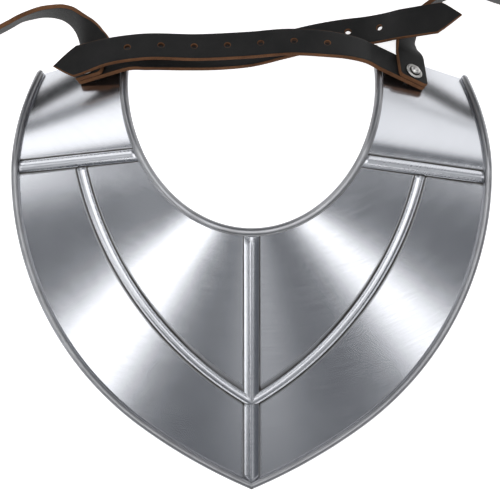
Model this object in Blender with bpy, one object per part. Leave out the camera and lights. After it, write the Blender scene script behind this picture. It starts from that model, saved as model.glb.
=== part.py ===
"""Steel gorget lying face up: a breast plate with rolled edges and raised beads, and leather straps.

Metres, +Z up. The plate's point is towards -Y, the open side of the neck towards +Y. Every piece is
its own object. The outer edge touches the surface at the point and at the ends of both arms.
"""

import math

import bmesh
import bpy
from mathutils import Vector
from mathutils.geometry import delaunay_2d_cdt

CLEARANCE = 0.0003

# Plate outline, seen from the front
SHEET = 0.0012
HALF_WIDTH = 0.177
WIDEST_ROW = -0.0707
SIDE_RADIUS = 0.2347
POINT_RADIUS = 0.4255
POINT_ROW = -0.3072
RIGHT_ARM_ROW = 0.006
LEFT_ARM_ROW = 0.0097
NECK_HALF_WIDTH = 0.0905
NECK_DEPTH = 0.1102
NECK_ROW = 0.0021
NECK_END_TURN = 102.0

# Plate form, as heights over the surface it lies on
CROWN_HEIGHT = 0.095
SIDE_SLOPE = 0.25
FRONT_SLOPE = 0.287
SHOULDER_ROW = -0.0444
SHOULDER_LEAN = 0.132
ARM_CURL = 1.6
ARM_TWIST = 0.85
RIM_SETTLE = 0.0009
ARM_SETTLE = 0.0016

# Rolled edges and beads
NECK_ROLL = 0.0062
OUTER_ROLL = 0.0054
ROLL_TURN = 300.0
CENTRE_BEAD = 0.0112
SHOULDER_BEAD = 0.0086
SHOULDER_BEAD_SKEW = 0.0225
CURVED_BEAD = 0.0072
CURVED_BEAD_RADIUS = 0.2675
BEAD_HEIGHT = 0.0021

# Straps
STRAP_WIDTH = 0.024
LEATHER = 0.0033
LONG_STRAP_RIGHT = 0.2856
LONG_STRAP_LEFT = 0.3008
POINT_LONG_SIDE = 0.0198
POINT_SHORT_SIDE = 0.0133
HOLE = 0.0042
HOLE_PITCH = 0.0248
HOLE_COUNT = 7
POINT_TO_HOLE_RIGHT = 0.057
POINT_TO_HOLE_LEFT = 0.0636
RIGHT_LONG_HEADING = 3.0
LEFT_LONG_HEADING = -13.0
RIGHT_SHORT_HEADING = 109.0
LEFT_SHORT_HEADING = 102.0
RIGHT_SEAT_TILT = 8.5
LEFT_SEAT_TILT = 9.0
SEAT_LIFT = 0.0022

# Rivets at the arms
RIVET_ACROSS = 0.1162
RIGHT_RIVET_ROW = 0.0017
LEFT_RIVET_ROW = 0.0048
RIVET_OFF_CENTRE = 0.004
SHANK = 0.0036
HEAD = 0.0074
HEAD_RISE = 0.003
TAIL = 0.007
TAIL_RISE = 0.0012
WASHER = 0.0135
WASHER_THICKNESS = 0.0011

# Clasps of the short straps
WIRE = 0.0034
CLASP_LENGTH = 0.022
PRONG = 0.0022
FOLD_BACK = 0.026
FOLD_RIVET_AT = 0.018
FOLD_SHANK = 0.0024
FOLD_HEAD = 0.0056
FOLD_HEAD_RISE = 0.0014

# Strap routes. across and along are shares of the plate's half width and height is a share of the
# strap's width. lean and turn, in degrees, give the way the grain side faces. The long straps' heights
# are over the layers under them, and the short straps' over their own rest on the surface.
ROUTE_COLUMNS = ("across", "along", "height", "lean", "turn")
LONG_RIGHT_ROUTE = (
    (0.4755, 0.1250, 1.446, 47, 80),
    (0.3957, 0.1455, 1.467, 42, 84),
    (0.3288, 0.1555, 1.446, 37, 88),
    (0.1613, 0.1664, 1.383, 34, 91),
    (-0.0065, 0.1544, 1.342, 34, 92),
    (-0.2164, 0.1439, 1.370, 34, 91),
    (-0.4672, 0.1419, 1.600, 35, 88),
    (-0.6180, 0.1188, 1.600, 33, 92),
    (-0.7187, 0.0898, 1.500, 24, 98),
    (-0.8378, 0.0602, 1.488, 12, 104),
)
LONG_LEFT_ROUTE = (
    (-0.4468, 0.1011, 1.704, 38, 96),
    (-0.3014, 0.1047, 1.433, 36, 91),
    (-0.1335, 0.1107, 1.142, 36, 93),
    (-0.0065, 0.1268, 0.892, 35, 100),
    (0.1214, 0.1616, 0.683, 33, 104),
    (0.2413, 0.1933, 0.558, 31, 102),
    (0.4041, 0.2220, 0.496, 28, 98),
    (0.4851, 0.2299, 0.537, 26, 98),
    (0.5523, 0.2387, 0.720, 24, 98),
    (0.6308, 0.2518, 1.030, 22, 98),
    (0.6926, 0.2598, 1.160, 21, 98),
    (0.7549, 0.2688, 1.240, 20, 98),
    (0.8893, 0.2868, 1.270, 19, 98),
)
SHORT_RIGHT_ROUTE = (
    (0.6620, 0.1706, 0.295, 60, 28),
    (0.6640, 0.2060, 0.180, 64, 12),
    (0.6838, 0.2400, 0.085, 68, -8),
    (0.7095, 0.2885, 0.020, 76, -30),
    (0.7567, 0.3356, 0.000, 81, -46),
    (0.8167, 0.3785, 0.000, 84, -60),
    (0.8939, 0.3999, 0.000, 87, -80),
    (0.9710, 0.3957, 0.000, 90, -98),
    (1.0439, 0.3721, 0.000, 90, -112),
)
SHORT_LEFT_ROUTE = (
    (-0.6780, 0.1860, 0.400, 55, 150),
    (-0.6950, 0.2150, 0.270, 57, 168),
    (-0.7170, 0.2440, 0.160, 60, 190),
    (-0.7360, 0.2655, 0.100, 63, 209),
    (-0.7700, 0.2955, 0.035, 67, 229),
    (-0.8050, 0.3107, 0.008, 72, 245),
    (-0.8470, 0.3158, 0.000, 78, 262),
    (-0.8990, 0.3130, 0.000, 83, 277),
    (-0.9500, 0.3000, 0.000, 87, 287),
    (-0.9930, 0.2850, 0.000, 90, 295),
    (-1.0360, 0.2610, 0.000, 90, 301),
)
RIGHT_RUN_TO_CLASP = 0.058
LEFT_RUN_TO_CLASP = 0.058

POINT = Vector((0.0, POINT_ROW))
SIDE_CENTRE = Vector((HALF_WIDTH - SIDE_RADIUS, WIDEST_ROW))


def point_arc_centre():
    """Centre of the arc that touches the side arc and runs through the plate's point."""
    gap = POINT_RADIUS - SIDE_RADIUS
    reach = SIDE_CENTRE - POINT
    share = (reach.length_squared + gap * gap - POINT_RADIUS ** 2) / (2 * gap * reach.length)
    turn = math.atan2(reach.y, reach.x) - math.acos(max(-1.0, min(1.0, share)))
    return SIDE_CENTRE - gap * Vector((math.cos(turn), math.sin(turn))), turn


POINT_CENTRE, JOIN_TURN = point_arc_centre()
POINT_TURN = math.atan2(POINT.y - POINT_CENTRE.y, POINT.x - POINT_CENTRE.x)
POINT_ARC = POINT_RADIUS * (JOIN_TURN - POINT_TURN)


def outer_edge(length):
    """Outline point and its outward direction, at a length along the edge from the plate's point."""
    if length < POINT_ARC:
        turn = POINT_TURN + length / POINT_RADIUS
        centre, radius = POINT_CENTRE, POINT_RADIUS
    else:
        turn = JOIN_TURN + (length - POINT_ARC) / SIDE_RADIUS
        centre, radius = SIDE_CENTRE, SIDE_RADIUS
    outward = Vector((math.cos(turn), math.sin(turn)))
    return centre + radius * outward, outward


def length_at_row(row):
    turn = math.asin((row - WIDEST_ROW) / SIDE_RADIUS)
    return POINT_ARC + SIDE_RADIUS * (turn - JOIN_TURN)


def length_at_across(across):
    turn = -math.acos((across - POINT_CENTRE.x) / POINT_RADIUS)
    return POINT_RADIUS * (turn - POINT_TURN)


def neck_edge(turn):
    """Neck opening's edge and the direction into the sheet, by the turn from the centre line."""
    angle = math.radians(turn)
    place = Vector((NECK_HALF_WIDTH * math.sin(angle), NECK_ROW - NECK_DEPTH * math.cos(angle)))
    inward = Vector((math.sin(angle) / NECK_HALF_WIDTH, -math.cos(angle) / NECK_DEPTH))
    return place, inward.normalized()


def turn_at_row(row):
    return math.degrees(math.acos((NECK_ROW - row) / NECK_DEPTH))


FRONT_REACH = WIDEST_ROW - POINT_ROW
RIDGE_SLOPE = (CROWN_HEIGHT - SHEET / 2) / FRONT_REACH - FRONT_SLOPE


def crown(across, along):
    """Height of the breast form, before the arms fall away behind the shoulders."""
    back = along - WIDEST_ROW
    return CROWN_HEIGHT + RIDGE_SLOPE * back - math.hypot(SIDE_SLOPE * across, FRONT_SLOPE * back)


def behind_shoulder(across, along):
    return max(0.0, along - SHOULDER_ROW + SHOULDER_LEAN * abs(across))


def by_side(side, right, left):
    return right if side > 0 else left


def arm_end(side):
    """The arm's outer corner, its fall below the breast form and its reach behind the shoulder."""
    row = by_side(side, RIGHT_ARM_ROW, LEFT_ARM_ROW)
    corner = outer_edge(length_at_row(row))[0]
    fall = crown(*corner) - SHEET / 2 + ARM_SETTLE
    return corner.x, fall, behind_shoulder(*corner)


ARM_ENDS = (arm_end(1), arm_end(-1))


def plate_height(across, along):
    corner, deepest, reach = by_side(across, *ARM_ENDS)
    fall = deepest * (behind_shoulder(across, along) / reach) ** ARM_CURL
    outward = 1.0 + ARM_TWIST * (abs(across) - corner) / HALF_WIDTH
    return crown(across, along) - fall * outward - RIM_SETTLE


def on_plate(across, along):
    return Vector((across, along, plate_height(across, along)))


def plate_normal(across, along):
    step = 0.0002
    run = on_plate(across + step, along) - on_plate(across - step, along)
    rise = on_plate(across, along + step) - on_plate(across, along - step)
    return run.cross(rise).normalized()


def share_between(low, high, share):
    return low + (high - low) * share


ARM_STEPS = 8
BEAD_STEPS = ((-0.5, 0.0), (-0.3, 0.86), (0.0, 1.0), (0.3, 0.86), (0.5, 0.0))


def half_stations(side):
    """Section lines from the centre line to the arm's end: neck turn, edge length, bead lift."""
    skew = side * SHOULDER_BEAD_SKEW
    inset = (OUTER_ROLL / 2) * math.cos(POINT_TURN)
    stations = []
    for across, lift in BEAD_STEPS[2:]:
        neck_turn = math.degrees(math.asin(across * CENTRE_BEAD / NECK_HALF_WIDTH))
        edge = 0.0
        if across > 0:
            edge = length_at_across(across * CENTRE_BEAD + inset)
        stations.append((neck_turn, edge, lift))
    neck_mid = SHOULDER_ROW - (SHOULDER_LEAN + skew) * NECK_HALF_WIDTH
    edge_mid = SHOULDER_ROW - (SHOULDER_LEAN + skew) * HALF_WIDTH
    bead = []
    for share, lift in BEAD_STEPS:
        neck_turn = turn_at_row(neck_mid + share * SHOULDER_BEAD)
        bead.append((neck_turn, length_at_row(edge_mid + share * SHOULDER_BEAD), lift))
    start, near = stations[-1], bead[0]
    for step in range(1, 10):
        share = step / 10
        stations.append((share_between(start[0], near[0], share),
                         share_between(start[1], near[1], share), 0.0))
    stations += bead
    far = bead[-1]
    end = length_at_row(by_side(side, RIGHT_ARM_ROW, LEFT_ARM_ROW))
    for step in range(1, ARM_STEPS + 1):
        share = step / ARM_STEPS
        stations.append((share_between(far[0], NECK_END_TURN, share),
                         share_between(far[1], end, share), 0.0))
    return stations


def curved_bead_centre():
    """Centre of the curved bead's arc, through its ends at the shoulder and on the centre line."""
    top = Vector((0.696 * HALF_WIDTH, WIDEST_ROW))
    foot = Vector((0.0, WIDEST_ROW - 0.711 * FRONT_REACH))
    chord = foot - top
    across = Vector((chord.y, -chord.x)).normalized()
    rise = math.sqrt(CURVED_BEAD_RADIUS ** 2 - chord.length_squared / 4)
    return (top + foot) / 2 + across * rise


BEAD_CENTRE = curved_bead_centre()


def crossing(start, direction, radius):
    """Distance along a section line to the circle of this radius about the curved bead's centre."""
    offset = start - BEAD_CENTRE
    along = offset.dot(direction)
    return -along + math.sqrt(along * along - offset.length_squared + radius * radius)


def roll_points(place, outward, normal, diameter, free_first):
    """Middle line of a rolled edge, curled over to the front and left a little open."""
    radius = (diameter - SHEET) / 2
    points = []
    for step in range(1, 9):
        turn = math.radians(ROLL_TURN * step / 8)
        points.append(place + outward * (radius * math.sin(turn))
                      + normal * (radius - radius * math.cos(turn)))
    if free_first:
        points.reverse()
    return points


def section_points(side, station, on_arm, at_point):
    """Middle line of the sheet along one section, from the neck roll to the outer roll."""
    neck_turn, edge, lift = station
    neck, neck_in = neck_edge(neck_turn)
    rim, rim_out = outer_edge(edge)
    neck_foot = neck + neck_in * (NECK_ROLL / 2)
    mitre = 1.0
    if at_point:
        mitre = 1.0 / math.sin(-POINT_TURN)
        rim_out = Vector((0.0, -1.0))
    rim_foot = rim - rim_out * (OUTER_ROLL / 2 * mitre)
    direction = (rim_foot - neck_foot).normalized()
    span = (rim_foot - neck_foot).length
    places = [(0.0, 0.0), (NECK_ROLL * 0.65, 0.0), (NECK_ROLL * 1.3, lift)]
    for share, own_lift in BEAD_STEPS:
        distance = crossing(neck_foot, direction, CURVED_BEAD_RADIUS + share * CURVED_BEAD)
        if on_arm:
            own_lift = 0.0
        places.append((distance, max(lift, own_lift)))
    places += [(span - OUTER_ROLL * 1.3, lift), (span - OUTER_ROLL * 0.65, 0.0), (span, 0.0)]
    sheet = []
    for distance, raised in places:
        plan = neck_foot + direction * distance
        across = side * plan.x
        sheet.append(on_plate(across, plan.y) + plate_normal(across, plan.y) * (raised * BEAD_HEIGHT))
    neck_normal = plate_normal(side * neck_foot.x, neck_foot.y)
    neck_back = Vector((-side * neck_in.x, -neck_in.y, 0.0))
    neck_back = (neck_back - neck_normal * neck_back.dot(neck_normal)).normalized()
    rim_normal = plate_normal(side * rim_foot.x, rim_foot.y)
    rim_away = Vector((side * rim_out.x, rim_out.y, 0.0))
    rim_away = (rim_away - rim_normal * rim_away.dot(rim_normal)).normalized() * mitre
    return (roll_points(sheet[0], neck_back, neck_normal, NECK_ROLL, True) + sheet
            + roll_points(sheet[-1], rim_away, rim_normal, OUTER_ROLL, False))


def plate_grid():
    right = half_stations(1)
    left = half_stations(-1)
    rows = []
    for index in range(len(left) - 1, 0, -1):
        rows.append(section_points(-1, left[index], index >= len(left) - ARM_STEPS - 2, False))
    for index, station in enumerate(right):
        rows.append(section_points(1, station, index >= len(right) - ARM_STEPS - 2, index == 0))
    return rows


def thickened(rows, thickness):
    """Closed mesh of a sheet whose middle surface is a grid of points."""
    count, width = len(rows), len(rows[0])
    front, back = [], []
    for i in range(count):
        for j in range(width):
            run = rows[min(i + 1, count - 1)][j] - rows[max(i - 1, 0)][j]
            rise = rows[i][min(j + 1, width - 1)] - rows[i][max(j - 1, 0)]
            normal = rise.cross(run).normalized()
            front.append(rows[i][j] + normal * (thickness / 2))
            back.append(rows[i][j] - normal * (thickness / 2))
    faces = []
    shift = count * width

    def at(i, j):
        return i * width + j

    for i in range(count - 1):
        for j in range(width - 1):
            faces.append((at(i, j), at(i, j + 1), at(i + 1, j + 1), at(i + 1, j)))
            faces.append((shift + at(i, j), shift + at(i + 1, j),
                          shift + at(i + 1, j + 1), shift + at(i, j + 1)))
    border = [(i, 0) for i in range(count)] + [(count - 1, j) for j in range(1, width)]
    border += [(i, width - 1) for i in range(count - 2, -1, -1)]
    border += [(0, j) for j in range(width - 2, 0, -1)]
    for here, there in zip(border, border[1:] + border[:1]):
        faces.append((at(*here), at(*there), shift + at(*there), shift + at(*here)))
    return front + back, faces


def material(name, colour, roughness, metallic):
    made = bpy.data.materials.new(name)
    made.use_nodes = True
    shader = made.node_tree.nodes["Principled BSDF"]
    shader.inputs["Base Color"].default_value = (*colour, 1.0)
    shader.inputs["Roughness"].default_value = roughness
    shader.inputs["Metallic"].default_value = metallic
    return made


def closed_object(name, points, faces, look):
    """Object from points and faces, with its faces turned outwards and its round sides smooth."""
    mesh = bpy.data.meshes.new(name)
    mesh.from_pydata([tuple(point) for point in points], [], faces)
    shell = bmesh.new()
    shell.from_mesh(mesh)
    bmesh.ops.recalc_face_normals(shell, faces=shell.faces)
    if shell.calc_volume(signed=True) < 0:
        bmesh.ops.reverse_faces(shell, faces=shell.faces)
    shell.to_mesh(mesh)
    shell.free()
    mesh.shade_smooth()
    mesh.set_sharp_from_angle(angle=math.radians(40))
    mesh.materials.append(look)
    made = bpy.data.objects.new(name, mesh)
    bpy.context.scene.collection.objects.link(made)
    return made


def cross_frame(normal):
    """Two directions square to a normal."""
    aside = Vector((0.0, 1.0, 0.0)).cross(normal).normalized()
    return aside, normal.cross(aside)


def turned_object(name, origin, normal, profile, sides, look):
    """Solid turned about a normal, from (radius, height) pairs; radius 0 ends close the poles."""
    aside, ahead = cross_frame(normal)
    points, rings = [], []
    for radius, height in profile:
        if radius == 0:
            rings.append([len(points)])
            points.append(origin + normal * height)
            continue
        rings.append(list(range(len(points), len(points) + sides)))
        for step in range(sides):
            turn = math.tau * step / sides
            points.append(origin + normal * height
                          + (aside * math.cos(turn) + ahead * math.sin(turn)) * radius)
    pairs = list(zip(rings, rings[1:]))
    if profile[0][0] > 0:
        pairs.append((rings[-1], rings[0]))
    faces = []
    for low, high in pairs:
        for step in range(sides):
            after = (step + 1) % sides
            corners = [low[step % len(low)], low[after % len(low)],
                       high[after % len(high)], high[step % len(high)]]
            faces.append(tuple(dict.fromkeys(corners)))
    return closed_object(name, points, faces, look)


def lean_normal(lean, turn):
    lean, turn = math.radians(lean), math.radians(turn)
    return Vector((math.sin(lean) * math.cos(turn), math.sin(lean) * math.sin(turn), math.cos(lean)))


def long_rows(table, layers):
    """Rows of a strap that rides over this many layers of leather."""
    rows = []
    for values in table:
        row = dict(zip(ROUTE_COLUMNS, values))
        rise = row["height"] * STRAP_WIDTH + layers * (LEATHER + CLEARANCE)
        rows.append((Vector((row["across"] * HALF_WIDTH, row["along"] * HALF_WIDTH, rise)),
                     lean_normal(row["lean"], row["turn"])))
    return rows


def standing_height(lean):
    """Height of the middle of a strap whose lower edge lies on the surface."""
    lean = math.radians(lean)
    return (math.sin(lean) * STRAP_WIDTH + math.cos(lean) * LEATHER) / 2 + CLEARANCE


def short_rows(table):
    rows = []
    for values in table:
        row = dict(zip(ROUTE_COLUMNS, values))
        rise = standing_height(row["lean"]) + row["height"] * STRAP_WIDTH
        rows.append((Vector((row["across"] * HALF_WIDTH, row["along"] * HALF_WIDTH, rise)),
                     lean_normal(row["lean"], row["turn"])))
    return rows


def slopes_through(values, chords):
    """Slope of a smooth line at each of its values, by the distances between them."""
    steps = [(after - before) / chord for before, after, chord in zip(values, values[1:], chords)]
    slopes = [steps[0]]
    for i in range(1, len(steps)):
        weight = chords[i - 1] / (chords[i - 1] + chords[i])
        slopes.append(steps[i - 1] * (1 - weight) + steps[i] * weight)
    return slopes + [steps[-1]]


class Route:
    """Smooth line through rows of (point, grain side), with its length and a frame at any length."""

    def __init__(self, rows):
        points = [row[0] for row in rows]
        sides = [row[1] for row in rows]
        count = len(points)
        chords = [(points[i + 1] - points[i]).length for i in range(count - 1)]
        slopes = slopes_through(points, chords)
        turns = slopes_through(sides, chords)
        self.places, self.normals, self.lengths = [points[0]], [rows[0][1]], [0.0]
        self.at_row = [0.0]
        for i in range(count - 1):
            for step in range(1, 17):
                t = step / 16
                square, cube = t * t, t * t * t
                weights = (2 * cube - 3 * square + 1, (cube - 2 * square + t) * chords[i],
                           3 * square - 2 * cube, (cube - square) * chords[i])
                place = (points[i] * weights[0] + slopes[i] * weights[1]
                         + points[i + 1] * weights[2] + slopes[i + 1] * weights[3])
                normal = (sides[i] * weights[0] + turns[i] * weights[1]
                          + sides[i + 1] * weights[2] + turns[i + 1] * weights[3])
                self.lengths.append(self.lengths[-1] + (place - self.places[-1]).length)
                self.places.append(place)
                self.normals.append(normal.normalized())
            self.at_row.append(self.lengths[-1])
        self.length = self.lengths[-1]

    def frame(self, length):
        last = len(self.lengths) - 2
        index = 0
        while index < last and self.lengths[index + 1] < length:
            index += 1
        step = self.lengths[index + 1] - self.lengths[index]
        share = (length - self.lengths[index]) / step
        place = self.places[index].lerp(self.places[index + 1], share)
        low, high = max(index - 1, 0), min(index + 2, last + 1)
        along = (self.places[high] - self.places[low]).normalized()
        normal = self.normals[index].lerp(self.normals[index + 1], min(max(share, 0.0), 1.0))
        normal = (normal - along * normal.dot(along)).normalized()
        return place, normal.cross(along), normal


BEND_STEP = 0.005
FOLD_STEP = 0.0015
FOLD_STEPS = 7


def strap_outline(start, end, skew, pointed):
    """Outline of a strap cut flat, its root end cut at a skew and its other end pointed or square."""
    half = STRAP_WIDTH / 2
    corner = min(0.003, half / 2)
    lean = math.tan(skew)
    outline = [(start - (half - corner) * lean, -half + corner),
               (start + corner * 0.3 - half * lean, -half + corner * 0.3),
               (start + corner - half * lean, -half)]
    if pointed:
        outline += [(end - POINT_LONG_SIDE, -half), (end - POINT_LONG_SIDE * 0.08, -half * 0.1),
                    (end, 0.0), (end - POINT_SHORT_SIDE * 0.1, half * 0.1),
                    (end - POINT_SHORT_SIDE, half)]
    else:
        outline += [(end, -half), (end, half)]
    outline += [(start + corner + half * lean, half),
                (start + corner * 0.3 + half * lean, half - corner * 0.3),
                (start + (half - corner) * lean, half - corner)]
    return outline


def ring(centre, across, radius, sides):
    """Ring of points outside a circle, so that what passes the hole keeps its clearance."""
    points = []
    radius = radius / math.cos(math.pi / sides)
    for step in range(sides):
        turn = math.tau * (step + 0.5) / sides
        points.append((centre + radius * math.cos(turn), across + radius * math.sin(turn)))
    return points


def strap_object(name, route, start, seat, end, skew, holes, slots, pointed, look):
    """Strap cut flat with its holes and slots, then laid along its route, flat up to its seat's end."""
    cuts = [ring(centre, across, radius, 12) for centre, across, radius in holes]
    blocked = [(centre - radius - 0.001, centre + radius + 0.001) for centre, _, radius in holes]
    for centre, half_length, half_width in slots:
        cuts.append([(centre - half_length, -half_width), (centre + half_length, -half_width),
                     (centre + half_length, half_width), (centre - half_length, half_width)])
    outline = strap_outline(start, end, skew, pointed)
    half = STRAP_WIDTH / 2
    flat, edges = [], []
    for loop in [outline] + cuts:
        first = len(flat)
        flat += [Vector(point) for point in loop]
        edges += [(first + i, first + (i + 1) % len(loop)) for i in range(len(loop))]
    high = end - (POINT_LONG_SIDE if pointed else 0.002)
    count = int((high - seat) / BEND_STEP)
    bends = [seat + (high - seat) * index / count for index in range(count)]
    for centre, half_length, half_width in slots:
        near_fold = FOLD_STEP * (FOLD_STEPS + 1)
        bends = [bend for bend in bends if abs(bend - centre) > near_fold]
        bends += [centre + FOLD_STEP * index for index in range(-FOLD_STEPS, FOLD_STEPS + 1)]
    for bend in sorted(bends):
        if any(near < bend < far for near, far in blocked) or bend > high - 0.001:
            continue
        first = len(flat)
        flat += [Vector((bend, -half)), Vector((bend, half))]
        edges.append((first, first + 1))
    flat, _, faces, _, _, _ = delaunay_2d_cdt(flat, edges, [], 0, 1e-7)
    kept = []
    for face in faces:
        middle = sum((flat[corner] for corner in face), Vector((0.0, 0.0))) / len(face)
        gone = any((middle - Vector((centre, across))).length < radius
                   for centre, across, radius in holes)
        gone = gone or any(abs(middle.x - centre) < long_half and abs(middle.y) < wide_half
                           for centre, long_half, wide_half in slots)
        if not gone:
            kept.append(tuple(face))
    frames = [route.frame(point.x) for point in flat]
    points = []
    for side in (1, -1):
        for point, (place, aside, normal) in zip(flat, frames):
            points.append(place + aside * point.y + normal * (side * LEATHER / 2))
    shift = len(flat)
    sides = {}
    for face in kept:
        for here, there in zip(face, face[1:] + face[:1]):
            if (there, here) in sides:
                del sides[(there, here)]
            else:
                sides[(here, there)] = True
    faces = kept + [tuple(shift + corner for corner in reversed(face)) for face in kept]
    faces += [(there, here, shift + here, shift + there) for here, there in sides]
    return closed_object(name, points, faces, look)


def laid_ahead(side, heading, normal):
    """Direction in a plane, by its plan angle from the plate's middle towards the back."""
    angle = math.radians(heading)
    ahead = Vector((-side * math.cos(angle), math.sin(angle), 0.0))
    return (ahead - normal * ahead.dot(normal)).normalized()


def seat_frame(side):
    """Straps' seat at the rivet, tilted so that the long strap runs straight over the neck roll."""
    across = side * RIVET_ACROSS
    row = by_side(side, RIGHT_RIVET_ROW, LEFT_RIVET_ROW)
    normal = plate_normal(across, row)
    ahead = laid_ahead(side, by_side(side, RIGHT_LONG_HEADING, LEFT_LONG_HEADING), normal)
    tilt = math.radians(by_side(side, RIGHT_SEAT_TILT, LEFT_SEAT_TILT))
    return (on_plate(across, row) + normal * SEAT_LIFT,
            ahead * math.cos(tilt) + normal * math.sin(tilt),
            normal * math.cos(tilt) - ahead * math.sin(tilt))


def layer_height(layer):
    """Height over the seat of the middle of the first or second strap."""
    return SHEET / 2 + (layer - 0.5) * LEATHER + layer * CLEARANCE


def short_ahead(side):
    heading = by_side(side, RIGHT_SHORT_HEADING, LEFT_SHORT_HEADING)
    return laid_ahead(side, heading, seat_frame(side)[2])


def seat_rows(side, ahead, layer, shift, distances):
    """Rows of a strap that lies on the seat at the rivet, by distance from the rivet."""
    place, _, normal = seat_frame(side)
    aside = normal.cross(ahead) * -side
    base = place + normal * layer_height(layer) + aside * shift
    return [(base + ahead * distance, normal) for distance in distances]


def root_ends(side):
    """Skew of the straps' root ends, and their reach for a long and a short strap: flush corners."""
    skew = math.asin(seat_frame(side)[1].dot(short_ahead(side)))
    long_reach = STRAP_WIDTH / 2 / math.cos(skew)
    short_reach = (STRAP_WIDTH / 2 - RIVET_OFF_CENTRE) / math.cos(skew)
    return skew, long_reach, short_reach


def fold_rows(start, direction, normal):
    """Rows round the clasp's bar and back along the strap's flesh side."""
    radius = WIRE / 2 + 2 * CLEARANCE + LEATHER / 2
    bar = start - normal * radius
    rows = []
    for step in range(0, 7):
        turn = math.pi * step / 6
        away = normal * math.cos(turn) + direction * math.sin(turn)
        rows.append((bar + away * radius, away))
    apart = LEATHER + CLEARANCE
    ease = radius * 2
    for share, side in ((0.3, 0.85), (0.7, 0.15), (1.0, 0.0)):
        back = FOLD_RIVET_AT * 0.72 * share
        rows.append((start - direction * back - normal * (apart + (ease - apart) * side), -normal))
    for back in (FOLD_RIVET_AT, FOLD_BACK):
        rows.append((start - direction * back - normal * apart, -normal))
    return rows, bar


def ring_wire(name, corners, wire, look):
    """Closed ring of round wire through corner points."""
    sides = 8
    count = len(corners)
    points = []
    for index, place in enumerate(corners):
        before = (place - corners[index - 1]).normalized()
        after = (corners[(index + 1) % count] - place).normalized()
        plane = (after - before)
        outward = -plane.normalized()
        lift = before.cross(after).normalized()
        stretch = 1.0 / math.sqrt((1.0 + before.dot(after)) / 2)
        for step in range(sides):
            turn = math.tau * (step + 0.5) / sides
            points.append(place + outward * (math.cos(turn) * wire / 2 * stretch)
                          + lift * (math.sin(turn) * wire / 2))
    faces = []
    for index in range(count):
        after = (index + 1) % count
        for step in range(sides):
            beside = (step + 1) % sides
            faces.append((index * sides + step, index * sides + beside,
                          after * sides + beside, after * sides + step))
    return closed_object(name, points, faces, look)


def clasp_object(name, bar, direction, upright, look):
    """Clasp: a wire frame whose back bar holds the strap, and a prong from bar to bar."""
    half = STRAP_WIDTH / 2 + WIRE / 2 + 3 * CLEARANCE
    corner = WIRE / 2
    outline = [(0.0, -half + corner), (0.3 * corner, -half + 0.3 * corner), (corner, -half),
               (CLASP_LENGTH - corner, -half), (CLASP_LENGTH - 0.3 * corner, -half + 0.3 * corner),
               (CLASP_LENGTH, -half + corner), (CLASP_LENGTH, half - corner),
               (CLASP_LENGTH - 0.3 * corner, half - 0.3 * corner), (CLASP_LENGTH - corner, half),
               (corner, half), (0.3 * corner, half - 0.3 * corner), (0.0, half - corner)]
    corners = [bar + direction * along + upright * across for along, across in outline]
    frame = ring_wire(name, corners, WIRE, look)
    prong = turned_object(name + "_prong", bar, direction,
                          [(0.0, 0.0), (PRONG / 2, 0.0), (PRONG / 2, CLASP_LENGTH),
                           (0.0, CLASP_LENGTH)], 8, look)
    prong.hide_render = True
    prong.display_type = "WIRE"
    joined = frame.modifiers.new("prong", "BOOLEAN")
    joined.operation = "UNION"
    joined.solver = "EXACT"
    joined.object = prong
    return frame


def build_plate(look):
    points, faces = thickened(plate_grid(), SHEET)
    plate = closed_object("gorget_plate", points, faces, look)
    for side, name in ((1, "right_hole"), (-1, "left_hole")):
        place, _, normal = seat_frame(side)
        radius = SHANK / 2 + CLEARANCE
        drill = turned_object(name, place, normal,
                              [(0.0, -0.008), (radius, -0.008), (radius, 0.004), (0.0, 0.004)],
                              16, look)
        drill.hide_render = True
        drill.display_type = "WIRE"
        cut = plate.modifiers.new(name, "BOOLEAN")
        cut.operation = "DIFFERENCE"
        cut.solver = "EXACT"
        cut.object = drill
    return plate


def build_long_strap(name, side, table, layers, length, look):
    """Long strap: seated at its rivet, over the neck roll, and along its route to the point."""
    seats = seat_rows(side, seat_frame(side)[1], 1, RIVET_OFF_CENTRE, (-0.019, 0.0, 0.0245, 0.026))
    route = Route(seats + long_rows(table, layers))
    skew, reach, _ = root_ends(side)
    start = route.at_row[1] - reach + RIVET_OFF_CENTRE * math.tan(skew)
    end = start + length
    holes = [(route.at_row[1], side * RIVET_OFF_CENTRE, SHANK / 2 + CLEARANCE)]
    first = end - by_side(side, POINT_TO_HOLE_RIGHT, POINT_TO_HOLE_LEFT)
    for index in range(HOLE_COUNT):
        holes.append((first - index * HOLE_PITCH, 0.0, HOLE / 2))
    return strap_object(name, route, start, route.at_row[3], end, -side * skew, holes, [], True, look)


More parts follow.
